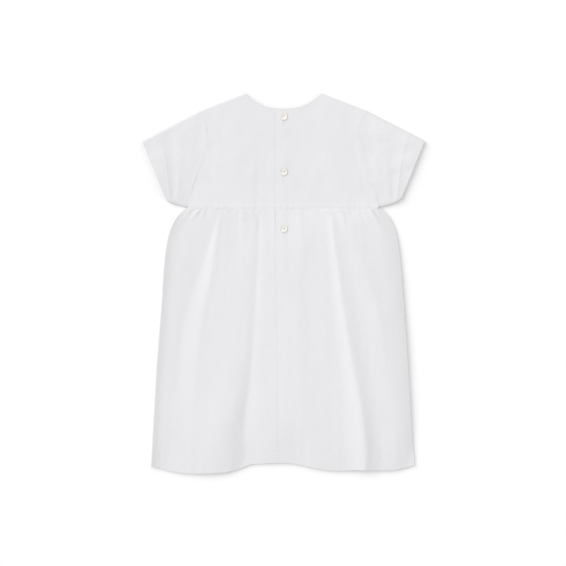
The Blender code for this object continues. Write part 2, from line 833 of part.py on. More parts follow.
def full_lift(depth):
    """Height of the back skirt's outer face without its folds."""
    loft = SKIRT_LOFT * (1.0 - math.exp(-depth / LOFT_REACH))
    hem_share = max(1.0 - (SKIRT_LENGTH - depth) / HEM_FALL_REACH, 0.0)
    return WAIST_LIFT + loft - HEM_FALL * hem_share ** HEM_FALL_POWER


def side_shape(x, depth):
    """What the way out to the side adds: a soft rim on the left, a fall on the right."""
    side = math.copysign(1.0, x)
    inside = half_width(depth, side) - abs(x)
    grown = mix(SIDE_START, 1.0, ease(depth / SIDE_GROWTH))
    if side < 0:
        return grown * LEFT_RIM * max(1.0 - inside / LEFT_RIM_REACH, 0.0) ** 2
    return -grown * RIGHT_FALL * max(1.0 - inside / RIGHT_FALL_REACH, 0.0) ** 2


def back_skirt_height(x, depth):
    """Height of the back skirt's outer face away from its rolled sides."""
    folded = folds_height(x, depth, BACK_FOLDS) + gathers_height(x, depth, BACK_GATHERS)
    return max(full_lift(depth) + side_shape(x, depth) + folded, LOWEST_UPPER)


def front_skirt_height(x, depth):
    """Height of the front skirt's underside: 0 where it rests, more in its troughs."""
    return folds_height(x, depth, FRONT_FOLDS) + gathers_height(x, depth, FRONT_GATHERS)


def flat_half(depth, side, upper):
    """Width from the middle to where a side starts to roll down, for the height that it falls."""
    rise = full_lift(depth) - SEAM_LIFT if upper else SEAM_LIFT
    return half_width(depth, side) - min(EDGE_ROLL, rise * rise / ROLL_RATE)


def fan(x, depth, upper):
    """Where the thread that starts at x on the waist seam has got to at a depth."""
    guides = [BACK_FOLDS[name] for name in BACK_GUIDES] if upper else list(FRONT_FOLDS.values())
    at_waist, here = [], []
    for places, level in ((at_waist, 0.0), (here, depth)):
        places.append(-flat_half(level, -1.0, upper))
        places += [fold_at(guide, level).x for guide in guides]
        places.append(flat_half(level, 1.0, upper))
    return float(np.interp(x, at_waist, here))


def gather_columns(gathers, upper, widest):
    """Places on the waist seam for the columns: each crest, the dips between, and wide gaps split."""
    crests = [gather.x for gather in gathers]
    places = {round(crest, 2) for crest in crests}
    places |= {round((first + second) / 2.0, 2) for first, second in zip(crests, crests[1:])}
    places |= {side * flat_half(0.0, side, upper) for side in (-1.0, 1.0)}
    ordered = sorted(places)
    filled = [ordered[0]]
    for start, end in zip(ordered, ordered[1:]):
        parts = max(1, math.ceil((end - start) / widest))
        filled += [mix(start, end, part / parts) for part in range(1, parts + 1)]
    return filled


def skirt_point(x, depth, upper, dip=0.0, turn=None):
    """Outer and inner point of a skirt section. turn is how far a rolled side has turned, in radians."""
    height = back_skirt_height if upper else front_skirt_height
    sign = 1.0 if upper else -1.0
    side = math.copysign(1.0, x)
    if turn is None:
        slope = (height(x + SLOPE_STEP, depth) - height(x - SLOPE_STEP, depth)) / (2.0 * SLOPE_STEP) * sign
        tilt = math.hypot(slope, 1.0)
        normal = (-slope / tilt, sign / tilt)
        z = height(x, depth) - dip
    else:
        rise = abs(height(x, depth) - SEAM_LIFT)
        reach = half_width(depth, side) - abs(x)
        x += side * reach * math.sin(turn)
        z = SEAM_LIFT + sign * max(rise * math.cos(turn), GAP / 2.0)
        normal = (side * math.sin(turn), sign * math.cos(turn))
    down = skirt_down(x, depth)
    if not upper:
        setback = FRONT_HEM_SETBACK * (depth / SKIRT_LENGTH) ** OUTLINE_POWER
        down -= setback * (1.0 - (abs(x) / half_width(depth, side)) ** SETBACK_POWER)
    elif depth > SKIRT_LENGTH - SKIRT_HEM:
        x += HEM_RELIEF * normal[0]
        z += HEM_RELIEF * normal[1]
    outer = (x, down, z)
    return outer, (x - CLOTH * normal[0], down, z - CLOTH * normal[1])


def section_depths(depths):
    """Depths of all the sections, with the seam, both sides of the hem's stitch line, and the hem."""
    stitch_line = SKIRT_LENGTH - SKIRT_HEM
    return [GAP / 2.0, *depths, stitch_line - HEM_STEP, stitch_line + HEM_STEP, SKIRT_LENGTH]


def side_points(depth, side, upper):
    """Points of a rolled side, from its flat start to the side seam."""
    start = side * flat_half(depth, side, upper)
    return [skirt_point(start, depth, upper, turn=math.radians(angle)) for angle in ROLL_ANGLES[1:]]


def back_skirt_right(name, material):
    """The upper half of the back skirt, from the opening's edge and the seam below it to the right side."""
    feet = [x for x in gather_columns(BACK_GATHERS, True, BACK_COLUMN) if x > -LAP + EDGE_CLEAR]
    rows = []
    for depth in section_depths(BACK_SECTIONS):
        edge = seam_x(depth) + (GAP / 2.0 if depth > OPENING_DEPTH else 0.0)
        places = [edge] + [fan(x, depth, True) for x in feet]
        rows.append([skirt_point(x, depth, True) for x in places] + side_points(depth, 1.0, True))
    grid = np.array(rows)
    return cloth_wall(name, grid[:, :, 0], grid[:, :, 1], material)


def back_skirt_left(name, material):
    """The under half of the back skirt: along the opening it runs on under the right half."""
    feet = [x for x in gather_columns(BACK_GATHERS, True, BACK_COLUMN) if x < -LAP - EDGE_CLEAR]
    rows, kept = [], []
    for depth in section_depths(BACK_SECTIONS):
        edge = seam_x(depth) - GAP / 2.0
        places = [fan(x, depth, True) for x in feet] + [edge]
        places += [edge + step for step in LAP_STEPS]
        points = [skirt_point(x, depth, True, dip=LAP_DROP * lap_share(x, depth)) for x in places]
        rolled = side_points(depth, -1.0, True)[::-1]
        rows.append(rolled + points)
        body_spans = len(rolled) + len(points) - len(LAP_STEPS) - 1
        kept.append([True] * body_spans + [depth < OPENING_DEPTH - OPENING_MARGIN] * len(LAP_STEPS))
    grid = np.array(rows)
    return cloth_wall(name, grid[:, :, 0], grid[:, :, 1], material, kept=np.array(kept[:-1]))


def front_skirt(name, material):
    """The front skirt, which the whole skirt rests on."""
    feet = gather_columns(FRONT_GATHERS, False, FRONT_COLUMN)
    rows = []
    for depth in section_depths(FRONT_SECTIONS):
        points = [skirt_point(fan(x, depth, False), depth, False) for x in feet]
        rows.append(side_points(depth, -1.0, False)[::-1] + points + side_points(depth, 1.0, False))
    grid = np.array(rows)
    return cloth_wall(name, grid[:, :, 0], grid[:, :, 1], material)


# Buttons


def button_shape(name, material):
    """A turned button with a rounded rim and a dished middle, before its holes are cut."""
    profile = (
        (0.0, 0.0),
        (BUTTON_RADIUS - 1.5, 0.0),
        (BUTTON_RADIUS - 0.3, 0.5),
        (BUTTON_RADIUS, 1.0),
        (BUTTON_RADIUS - 0.3, BUTTON_THICK - 0.15),
        (BUTTON_RADIUS - 0.8, BUTTON_THICK),
        (BUTTON_RADIUS - 1.4, BUTTON_THICK - 0.3),
        (BUTTON_RADIUS - 2.0, BUTTON_THICK - 0.6),
        (0.0, BUTTON_THICK - 0.6),
    )
    build = bmesh.new()
    corners = [build.verts.new((radius * MM, 0.0, height * MM)) for radius, height in profile]
    edges = [build.edges.new(pair) for pair in zip(corners, corners[1:])]
    bmesh.ops.spin(
        build,
        geom=corners + edges,
        cent=(0.0, 0.0, 0.0),
        axis=(0.0, 0.0, 1.0),
        angle=2.0 * math.pi,
        steps=BUTTON_SIDES,
        use_merge=True,
    )
    bmesh.ops.remove_doubles(build, verts=build.verts, dist=0.01 * MM)
    return add_object(name, build, material)


def button_cutter(name, offset):
    """Cutter for one thread hole, hidden and left out of the dress."""
    build = bmesh.new()
    bmesh.ops.create_cone(
        build,
        cap_ends=True,
        segments=BUTTON_HOLE_SIDES,
        radius1=BUTTON_HOLE_RADIUS * MM,
        radius2=BUTTON_HOLE_RADIUS * MM,
        depth=4.0 * BUTTON_THICK * MM,
    )
    bmesh.ops.translate(build, verts=build.verts, vec=(offset * MM, 0.0, 0.0))
    cutter = add_object(name, build, None)
    cutter.hide_render = True
    cutter.display_type = "WIRE"
    return cutter


def button_seat(down):
    """Height of the upper cloth under a button's middle and its slope along the dress."""
    def height(at):
        if at < WAIST:
            return back_bodice_height(0.0, at)
        return back_skirt_height(0.0, at - WAIST)

    slope = (height(down + BUTTON_RADIUS) - height(down - BUTTON_RADIUS)) / (2.0 * BUTTON_RADIUS)
    return height(down), slope


def add_button(button, material):
    """A button, face up, on the right half's opening edge."""
    body = button_shape(button.name, material)
    for index, side in enumerate((-1.0, 1.0)):
        cutter = button_cutter(f"{button.name}_cutter_{index}", side * BUTTON_HOLE_SPACING / 2.0)
        cutter.parent = body
        cut = body.modifiers.new(f"hole_{index}", "BOOLEAN")
        cut.operation = "DIFFERENCE"
        cut.solver = "EXACT"
        cut.object = cutter
    height, slope = button_seat(button.down)
    body.location = place(0.0, button.down, height + GAP)
    body.rotation_euler = (-math.atan(slope), 0.0, math.radians(button.turn))
    return body


def main():
    """Clear the scene and build every piece of the dress."""
    for old in list(bpy.data.objects):
        bpy.data.objects.remove(old)
    linen = {name: fabric(name, LINEN, 0.9) for name in (
        "front_bodice", "back_bodice_left", "back_bodice_right", "front_skirt",
        "back_skirt_left", "back_skirt_right", "sleeve_left", "sleeve_right",
    )}
    front_bodice("front_bodice", linen["front_bodice"])
    front_skirt("front_skirt", linen["front_skirt"])
    back_skirt_left("back_skirt_left", linen["back_skirt_left"])
    back_skirt_right("back_skirt_right", linen["back_skirt_right"])
    for word, side in (("left", -1.0), ("right", 1.0)):
        back_bodice(f"back_bodice_{word}", side, linen[f"back_bodice_{word}"])
        sleeve(f"sleeve_{word}", side, linen[f"sleeve_{word}"])
    for button in BUTTONS:
        add_button(button, fabric(button.name, PEARL, 0.25))
    bpy.context.view_layer.update()


main()
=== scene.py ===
"""A toddler's short-sleeved linen dress, laid out flat with its back up, with its sewing and buttons.

Sizes are in millimetres: x runs to the right from the dress's centre line, "down" from the neck points
to the hem, z up from the surface, and depth down from the waist seam. A panel is a grid of points, and
frame_points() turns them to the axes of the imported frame: x to the right, y to the neck, z up.
"""

from __future__ import annotations

import logging
import math
from dataclasses import dataclass, field, replace
from enum import Enum
from typing import Any, Callable, Sequence

import bmesh
import bpy
import numpy as np
from mathutils import Matrix, Vector

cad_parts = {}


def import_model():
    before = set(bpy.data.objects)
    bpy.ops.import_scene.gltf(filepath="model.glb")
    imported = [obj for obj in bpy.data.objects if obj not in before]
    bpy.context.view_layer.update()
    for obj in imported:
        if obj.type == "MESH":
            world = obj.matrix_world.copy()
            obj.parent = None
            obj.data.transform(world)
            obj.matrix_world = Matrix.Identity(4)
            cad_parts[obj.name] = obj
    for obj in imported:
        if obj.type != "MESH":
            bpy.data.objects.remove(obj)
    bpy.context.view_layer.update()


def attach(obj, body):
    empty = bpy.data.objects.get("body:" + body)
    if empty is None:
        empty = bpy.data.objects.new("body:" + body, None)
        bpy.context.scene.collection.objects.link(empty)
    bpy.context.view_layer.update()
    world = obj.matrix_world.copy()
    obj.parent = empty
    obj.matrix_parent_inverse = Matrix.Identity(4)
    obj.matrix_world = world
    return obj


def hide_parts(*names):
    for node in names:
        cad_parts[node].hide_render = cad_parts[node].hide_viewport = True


MM = 0.001
TINY = 1e-9

# The whole dress, and the height at which the front and the back meet
LENGTH = 514.0
WAIST = 154.6
SKIRT_LENGTH = LENGTH - WAIST
SEAM_LIFT = 2.4

# The cloth, the bends of its pressed folds and of its edges, how its ends are kept from rounding off, and
# how many rows or columns such a bend adds to a panel
CLOTH = 0.4
FOLD_RADIUS = 0.45
SEAM_RADIUS = 0.006
SEAM_GAP = 0.002
EDGE_HOLD = 0.06
BEND_STEPS = 5
EDGE_ADDED = BEND_STEPS + 1

# The opening: how far the right half laps over, and how the halves part in height on their way to it
LAP = 9.7
LAP_RADIUS = 0.40
LAP_STEP = 0.75
LAP_FADE = 36.0
OPENING_DEPTH = 103.0

# How sharp the crest of a large fold is, and how many points draw a Bezier curve
CREST = 0.16
CURVE_POINTS = 240

Array = np.ndarray
Station = tuple[float, float, float, float, float]
log = logging.getLogger("dress")


class Side(Enum):
    """Which half of the dress a paired piece belongs to, as the sign of its x."""

    LEFT = -1.0
    RIGHT = 1.0

    @property
    def word(self) -> str:
        """The word used in the names of the pieces."""
        return self.name.lower()


class Layer(Enum):
    """Which layer of the laid dress a panel is, as the sign of z that its right side looks to."""

    BACK = 1.0
    FRONT = -1.0


# Curves and soft shapes


def frame_points(x: Array, down: Array, z: Array) -> Array:
    """Points in the frame's axes, still in millimetres."""
    return np.stack(np.broadcast_arrays(x, LENGTH / 2.0 - down, z), axis=-1)


def ease(share: Array) -> Array:
    """Soft step from 0 to 1 as share goes from 0 to 1."""
    held = np.clip(share, 0.0, 1.0)
    return held * held * (3.0 - 2.0 * held)


def grown(start: float, share: Array) -> Array:
    """Soft growth from a start to 1 as share goes from 0 to 1."""
    return start + (1.0 - start) * ease(share)


def hump(offset: Array, reach: Array) -> Array:
    """Round fold: 1 on its line, 0 beyond its reach."""
    return 0.5 + 0.5 * np.cos(np.pi * np.clip(np.abs(offset) / reach, 0.0, 1.0))


def peaked(offset: Array) -> Array:
    """Fold that is steepest beside its crest: 1 on its line, 0 where the offset is 1 or more."""
    slant = (np.sqrt(offset * offset + CREST * CREST) - CREST) / (math.sqrt(1.0 + CREST * CREST) - CREST)
    return np.clip(1.0 - slant, 0.0, None) ** 2


def bell(offset: Array, width: float) -> Array:
    """Narrow soft ridge: 1 on its line, nearly 0 at twice its width."""
    return np.exp(-((offset / width) ** 2))


def rolled(distance: Array, reach: Array) -> Array:
    """How upright a rolled edge still looks: 0 on its outermost line, 1 beyond its reach."""
    return np.sqrt(1.0 - np.clip(1.0 - distance / reach, 0.0, 1.0) ** 2)


def at_least(height: Array, lowest: float, blend: float) -> Array:
    """Height held above a lowest one, with a soft bend where the two meet."""
    over = height - lowest
    return lowest + 0.5 * (over + np.sqrt(over * over + blend * blend))


def flowing(knots: Array, values: Array, at: Array) -> Array:
    """Smooth curve through given values, level beyond its ends.

    Args:
        knots: Places of the values, rising.
        values: Value at each place.
        at: Places to read the curve at.

    Returns:
        The curve's value at each place.
    """
    slopes = np.gradient(values, knots)
    place = np.clip(at, knots[0], knots[-1])
    index = np.clip(np.searchsorted(knots, place, side="right") - 1, 0, len(knots) - 2)
    span = knots[index + 1] - knots[index]
    share = (place - knots[index]) / span
    rest = 1.0 - share
    start = (1.0 + 2.0 * share) * rest**2 * values[index] + share * rest**2 * span * slopes[index]
    end = share**2 * (3.0 - 2.0 * share) * values[index + 1] - share**2 * rest * span * slopes[index + 1]
    return start + end


def ruled(start: float, *runs: tuple[float, float]) -> Array:
    """Places marked off along a length, closer where there is fine work.

    Args:
        start: The first place.
        runs: Pairs of the place that a run goes to and its spacing.

    Returns:
        All the places, rising.
    """
    marks = [start]
    for end, spacing in runs:
        count = max(1, round((end - marks[-1]) / spacing))
        marks += list(np.linspace(marks[-1], end, count + 1)[1:])
    return np.array(marks)


def roll_places(reach: float, steps: int = 7) -> Array:
    """Distances from the outermost line of a rolled edge to its reach, evenly turned."""
    return reach * (1.0 - np.cos(np.linspace(0.0, math.pi / 2.0, steps + 1)))


def path_steps(path: Array) -> Array:
    """Length of each step of a path, whose points are rows."""
    return np.linalg.norm(np.diff(path, axis=0), axis=1)


def path_length(path: Array) -> float:
    """Length of a path."""
    return float(path_steps(path).sum())


def travelled(path: Array) -> Array:
    """Distance from a path's start to each of its points."""
    return np.concatenate(([0.0], np.cumsum(path_steps(path))))


def read_along(path: Array, values: Array, distances: Array) -> Array:
    """Values at distances along a path, from rows of values that belong to its points."""
    marks = travelled(path)
    return np.stack([np.interp(distances, marks, column) for column in values.T], axis=-1)


def along(path: Array, distances: Array) -> Array:
    """Points of a path at distances along it."""
    return read_along(path, path, distances)


def unit(vectors: Array) -> Array:
    """Vectors of the same directions with a length of 1."""
    return vectors / np.maximum(np.linalg.norm(vectors, axis=-1, keepdims=True), TINY)


def bezier(*points: tuple[float, float]) -> Array:
    """Points along a Bezier curve of any degree.

    Args:
        *points: Its end points and handles, in order.

    Returns:
        Its points, one a row.
    """
    shares = np.linspace(0.0, 1.0, CURVE_POINTS)[:, None]
    degree = len(points) - 1
    weights = [math.comb(degree, i) * (1.0 - shares) ** (degree - i) * shares**i for i in range(degree + 1)]
    return sum(weight * np.array(point) for weight, point in zip(weights, points))


def between(bottom: Array, top: Array, left: Array, right: Array, up: Array, across: Array) -> Array:
    """Grid of plan points between four edges.

    Args:
        bottom: One point for each column, where up is 0.
        top: One point for each column, where up is 1.
        left: One point for each row, where across is 0.
        right: One point for each row, where across is 1.
        up: How far up each row lies, 0 to 1.
        across: How far each column follows the right edge, 0 to 1.

    Returns:
        The grid, rows by columns by 2.
    """
    rise, run = up[:, None, None], across[None, :, None]
    blend = bottom * (1.0 - rise) + top * rise + left[:, None] * (1.0 - run) + right[:, None] * run
    low = bottom[0] * (1.0 - run) + bottom[-1] * run
    high = top[0] * (1.0 - run) + top[-1] * run
    return blend - low * (1.0 - rise) - high * rise


@dataclass(frozen=True)
class Line:
    """A narrow line along an edge, sunk by stitches or raised by what lies under the cloth."""

    place: float
    width: float
    height: float

    def at(self, distance: Array) -> Array:
        """What the line adds to the height, at distances from the edge."""
        return self.height * bell(distance - self.place, self.width)


@dataclass(frozen=True)
class Ledge:
    """The cloth from an edge to its place, raised or sunk as a turned edge lies under it."""

    place: float
    run: float
    height: float

    def at(self, distance: Array) -> Array:
        """What the ledge adds to the height, at distances from the edge."""
        return self.height * ease((self.place - distance) / self.run)


def relief(parts: Sequence[Line | Ledge], distance: Array) -> Array:
    """What lines and ledges together add to the height, at distances from their edge."""
    return sum(part.at(distance) for part in parts)


@dataclass(frozen=True)
class Puckers:
    """A row of small unevenly spaced waves along a seam.

    turn is how far the waves turn for each unit along the seam, and sway and swing how they hurry and lag.
    """

    height: float
    turn: float
    sway: float = 0.0
    swing: float = 0.0
    start: float = 0.0

    def at(self, place: Array) -> Array:
        """What the waves add to the height, at places along the seam."""
        return self.height * np.sin(self.turn * place + self.start + self.sway * np.sin(self.swing * place))


@dataclass(frozen=True)
class Crease:
    """A soft ridge or trough on a straight line, which leans as it runs."""

    start: float
    lean: float
    half: float
    height: float

    def at(self, place: Array, run: Array) -> Array:
        """What the crease adds to the height, at places across it and along its run."""
        return self.height * hump(place - self.start - self.lean * run, self.half)


@dataclass(frozen=True)
class Fold:
    """A large soft ridge or trough.

    Each station gives the depth, the fold's x there, how far it stands up and how wide its two flanks are.
    """

    name: str
    stations: tuple[Station, ...]

    def height(self, x: Array, depth: Array) -> Array:
        """What the fold adds to the height.

        Args:
            x: Places across.
            depth: Places along it, from the seam that it starts at.

        Returns:
            The height, 0 away from the fold.
        """
        table = np.array(self.stations)
        line, lift, left, right = (flowing(table[:, 0], table[:, column], depth) for column in range(1, 5))
        offset = x - line
        return lift * peaked(offset / np.where(offset < 0.0, left, right))


@dataclass(frozen=True)
class Gather:
    """A short fold that starts at the waist seam, widens and dies out at its reach."""

    x: float
    drift: float
    lift: float
    left: float
    right: float
    reach: float
    start: float = 0.3
    rise: float = 5.0
    spread: float = 0.7

    def height(self, x: Array, depth: Array) -> Array:
        """What the gather adds to the height.

        Args:
            x: Places across.
            depth: Places down from the waist seam.

        Returns:
            The height, 0 away from the gather.
        """
        share = np.clip(depth / self.reach, 0.0, 1.0)
        offset = x - self.x - self.drift * share
        flank = np.where(offset < 0.0, self.left, self.right) * (1.0 + self.spread * share)
        strength = grown(self.start, depth / self.rise) * (1.0 - ease(share))
        return self.lift * strength * hump(offset, flank)


@dataclass(frozen=True)
class Drift:
    """Slow unevenness of cloth that has been worn and pressed: a sum of broad waves."""

    seed: int
    shortest: float
    longest: float
    stretch: float = 1.0
    count: int = 14
    growth: float = 0.8

    def at(self, x: Array, down: Array) -> Array:
        """Height of the waves at points of the dress.

        Args:
            x: Places across it.
            down: Places down it.

        Returns:
            Heights of about -1 to 1.
        """
        draw = np.random.default_rng(self.seed)
        lengths = np.exp(draw.uniform(math.log(self.shortest), math.log(self.longest), self.count))
        turns = draw.uniform(0.0, math.pi, self.count)
        starts = draw.uniform(0.0, 2.0 * math.pi, self.count)
        total = np.zeros(np.broadcast(x, down).shape)
        for length, turn, start in zip(lengths, turns, starts):
            phase = 2.0 * math.pi / length * (math.cos(turn) * x + math.sin(turn) * down / self.stretch)
            total = total + (length / self.longest) ** self.growth * np.sin(phase + start)
        return total / math.sqrt(self.count / 2.0)


# The opening's lines, which the bodice and the skirt share, by their distance to the right of its edge: on
# the upper half the turned and stitched edge, on the under half what shows of it
OPENING_RELIEF = {
    Side.RIGHT: (Ledge(15.2, 2.0, 0.06), Ledge(9.0, 9.0, -0.18), Line(3.8, 0.7, -0.05), Line(9.0, 0.8, -0.04),
                 Line(16.6, 0.9, -0.04)),
    Side.LEFT: (Line(-3.2, 1.3, 0.06), Line(0.0, 1.3, -0.09)),
}
LAP_SHARE = {Side.RIGHT: 0.55, Side.LEFT: -0.45}


def lap_level(off: Array, side: Side) -> Array:
    """Height that a half gains or loses near the opening, by the distance to the right of its edge."""
    return LAP_SHARE[side] * LAP_STEP * ease((LAP_FADE - side.value * off) / LAP_FADE)


# Cloth panels


def edge_last(grid: Array, axis: int, at_end: bool) -> Array:
    """A grid turned so that one of its edges is the last row: of its rows, or with axis 1 of its columns."""
    grid = grid.swapaxes(0, axis)
    return grid if at_end else grid[::-1]


def edge_back(grid: Array, axis: int, at_end: bool) -> Array:
    """A grid turned back from edge_last()."""
    grid = grid if at_end else grid[::-1]
    return grid.swapaxes(0, axis)


@dataclass(frozen=True)
class Panel:
    """A panel of cloth as a grid of points of its right side.

    points is rows by columns by 3 in millimetres, cloth the same grid on the flat cut, and normals
    look out of the dress. flipped says that the grid runs the other way round than its normals, and
    notch that the cells past its row and before its column are no part of the panel.
    """

    points: Array
    cloth: Array
    normals: Array
    flipped: bool
    notch: tuple[int, int] | None = None

    @classmethod
    def laid(cls, points: Array, cloth: Array, layer: Layer) -> Panel:
        """Panel from its points.

        Args:
            points: Rows by columns by 3.
            cloth: Rows by columns by 2.
            layer: Where it looks, a quarter of the way across the middle row.

        Returns:
            The panel.
        """
        normals = unit(np.cross(np.gradient(points, axis=1), np.gradient(points, axis=0)))
        flipped = bool(normals[points.shape[0] // 2, points.shape[1] // 4, 2] * layer.value < 0.0)
        return cls(points, cloth, -normals if flipped else normals, flipped)

    def turned(self, axis: int, at_end: bool, back: float = 0.0,
               radius: float | Array = SEAM_RADIUS) -> Panel:
        """The panel with one edge rolled under.

        Args:
            axis: 0 for the edge of the rows, 1 for the edge of the columns.
            at_end: Whether it is the last edge or the first one.
            back: How far the turned allowance runs back inside. Without it the edge only bends down.
            radius: Radius of the bend, also point by point; a turned allowance has that of a pressed fold.

        Returns:
            The longer panel.
        """
        radius = FOLD_RADIUS if back else np.reshape(radius, (-1, 1))
        grids = (self.points, self.cloth, self.normals)
        rows, flat, facing = (edge_last(grid, axis, at_end) for grid in grids)
        edge, normal = rows[-1], facing[-1]
        out = edge - rows[-2]
        out = unit(out - normal * np.sum(out * normal, axis=-1, keepdims=True))
        step_out = unit(flat[-1] - flat[-2])
        hold = np.minimum(EDGE_HOLD, 0.5 * np.linalg.norm(edge - rows[-2], axis=-1, keepdims=True))
        points = [rows[:-1], (edge - hold * out)[None], edge[None]]
        cloth = [flat[:-1], (flat[-1] - hold * step_out)[None], flat[-1:]]
        normals = [facing[:-1], normal[None], normal[None]]
        for turn in np.radians(np.linspace(0.0, 180.0 if back else 90.0, BEND_STEPS + 1)[1:]):
            sine, cosine = math.sin(turn), math.cos(turn)
            points.append((edge + radius * (out * sine + normal * (cosine - 1.0)))[None])
            cloth.append((flat[-1] + radius * turn * step_out)[None])
            normals.append((out * sine + normal * cosine)[None])
        if back:
            gaps = np.linalg.norm(np.diff(rows, axis=0), axis=-1).mean(axis=1)[::-1]
            count = int(np.searchsorted(np.cumsum(gaps), back)) + 1
            inside = slice(-2, -2 - count, -1)
            points.append(rows[inside] - 2.0 * radius * facing[inside])
            cloth.append(2.0 * flat[-1] - flat[inside] + math.pi * radius * step_out)
            normals.append(-facing[inside])
        longer = (edge_back(np.concatenate(parts), axis, at_end) for parts in (points, cloth, normals))
        return Panel(*longer, self.flipped, self.notch)

    def row(self, index: int) -> tuple[Array, Array]:
        """Points and normals of one row of the panel."""
        return self.points[index], self.normals[index]


@dataclass(frozen=True)
class Cut:
    """How a panel was cut and how it lies."""

    width: float
    length: float
    area: float
    held: str
    rests_on: tuple[str, ...]


def add_mesh(name: str, build: bmesh.types.BMesh, finish: bpy.types.Material) -> bpy.types.Object:
    """Smooth object from a bmesh, which is freed.

    Args:
        name: The object's name.
        build: Its mesh, in metres.
        finish: Its material.

    Returns:
        The new object, riding on the dress.
    """
    mesh = bpy.data.meshes.new(name)
    build.to_mesh(mesh)
    build.free()
    mesh.materials.append(finish)
    mesh.shade_smooth()
    piece = bpy.data.objects.new(name, mesh)
    bpy.context.collection.objects.link(piece)
    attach(piece, "root")
    return piece


def sew_panel(node: str, panel: Panel, cut: Cut, finish: bpy.types.Material) -> None:
    """Makes a panel's cloth in place of its solid.

    Args:
        node: Name of the solid that it stands for.
        panel: The laid panel.
        cut: Its flat cut, which is not used.
        finish: Its cloth.
    """
    rows, columns = panel.points.shape[:2]
    build = bmesh.new()
    bmesh.ops.create_grid(build, x_segments=columns - 1, y_segments=rows - 1, size=0.5)
    if panel.notch is not None:
        last_row, first_column = panel.notch
        gone = []
        for cell in build.faces:
            middle = cell.calc_center_median()
            row, column = (middle.y + 0.5) * (rows - 1), (middle.x + 0.5) * (columns - 1)
            if row > last_row and column < first_column:
                gone.append(cell)
        bmesh.ops.delete(build, geom=gone, context="FACES")
    piece = add_mesh(f"linen_{node}", build, finish)
    mesh = piece.data
    flat = np.empty(len(mesh.vertices) * 3)
    mesh.vertices.foreach_get("co", flat)
    place = np.rint((flat.reshape(-1, 3)[:, :2] + 0.5) * (columns - 1, rows - 1)).astype(int)
    mesh.vertices.foreach_set("co", (panel.points[place[:, 1], place[:, 0]] * MM).ravel())
    corner = np.empty(len(mesh.loops), dtype=np.int32)
    mesh.loops.foreach_get("vertex_index", corner)
    chart = mesh.uv_layers.new(name="cloth")
    chart.data.foreach_set("uv", (panel.cloth[place[:, 1], place[:, 0]] * MM)[corner].ravel())
    if panel.flipped:
        mesh.flip_normals()
    mesh.update()
    wall = piece.modifiers.new("cloth thickness", "SOLIDIFY")
    wall.thickness = CLOTH * MM
    wall.offset = -1.0
    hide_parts(node)
    list(cut.rests_on)
    log.info("%s: %d rows by %d columns", piece.name, rows, columns)


# Finishes


class Wire:
    """A number that varies over a surface, with arithmetic that adds the nodes for it."""

    def __init__(self, graph: Graph, socket: bpy.types.NodeSocket) -> None:
        """Wraps an output socket of a graph."""
        self.graph = graph
        self.socket = socket

    def math(self, operation: str, first: Wire | float, second: Wire | float = 0.0) -> Wire:
        """Result of a Math node."""
        return self.graph.wire("ShaderNodeMath", {"operation": operation}, {0: first, 1: second})

    def __add__(self, other: Wire | float) -> Wire:
        """Sum."""
        return self.math("ADD", self, other)

    def __sub__(self, other: Wire | float) -> Wire:
        """Difference."""
        return self.math("SUBTRACT", self, other)

    def __rsub__(self, other: float) -> Wire:
        """Reflected difference."""
        return self.math("SUBTRACT", other, self)

    def __mul__(self, other: Wire | float) -> Wire:
        """Product."""
        return self.math("MULTIPLY", self, other)

    __radd__ = __add__
    __rmul__ = __mul__

    def cosine(self) -> Wire:
        """Cosine."""
        return self.math("COSINE", self)

    def size(self) -> Wire:
        """Size without its sign."""
        return self.math("ABSOLUTE", self)

    def larger(self, other: Wire | float) -> Wire:
        """The larger of two values."""
        return self.math("MAXIMUM", self, other)


class Graph:
    """The node graph of one material, built round its Principled shader."""

    def __init__(self, name: str) -> None:
        """Starts a material.

        Args:
            name: Its name.
        """
        self.material = bpy.data.materials.new(name)
        self.material.use_nodes = True
        self.tree = self.material.node_tree
        self.shader = self.tree.nodes["Principled BSDF"]

    def node(self, kind: str, settings: dict[str, Any], inputs: dict[int | str, Any]) -> bpy.types.Node:
        """Adds a node.

        Args:
            kind: Its type.
            settings: Its properties, which are set first.
            inputs: Values or links of its sockets.

        Returns:
            The node.
        """
        made = self.tree.nodes.new(kind)
        for key, value in settings.items():
            setattr(made, key, value)
        for key, value in inputs.items():
            self.feed(made.inputs[key], value)
        return made

    def wire(self, kind: str, settings: dict[str, Any], inputs: dict[int | str, Any],
             output: int | str = 0) -> Wire:
        """One output of a new node, as a value to reckon with."""
        return Wire(self, self.node(kind, settings, inputs).outputs[output])

    def feed(self, socket: bpy.types.NodeSocket, value: Any) -> None:
        """Links a socket to a value, or sets it.

        Args:
            socket: The input socket.
            value: A Wire to link, or anything else to set.
        """
        if isinstance(value, Wire):
            self.tree.links.new(value.socket, socket)
        else:
            socket.default_value = value

    def finish(self, constants: dict[str, Any], varying: dict[str, Wire]) -> bpy.types.Material:
        """Sets the shader's own sockets and links the ones that vary.

        Args:
            constants: Values of sockets that are the same all over.
            varying: Links of sockets that change over the surface.

        Returns:
            The finished material.
        """
        for key, value in {**constants, **varying}.items():
            self.feed(self.shader.inputs[key], value)
        return self.material

    def blend(self, share: Wire, first: Sequence[float], second: Sequence[float]) -> Wire:
        """Colour between two colours.

        Args:
            share: How far it is from the first to the second.
            first: First colour, without alpha.
            second: Second colour, without alpha.

        Returns:
            The mixed colour.
        """
        made = self.node("ShaderNodeMix", {"data_type": "RGBA"}, {0: share})
        colours = [socket for socket in made.inputs if socket.type == "RGBA"]
        colours[0].default_value, colours[1].default_value = (*first, 1.0), (*second, 1.0)
        return Wire(self, next(socket for socket in made.outputs if socket.type == "RGBA"))


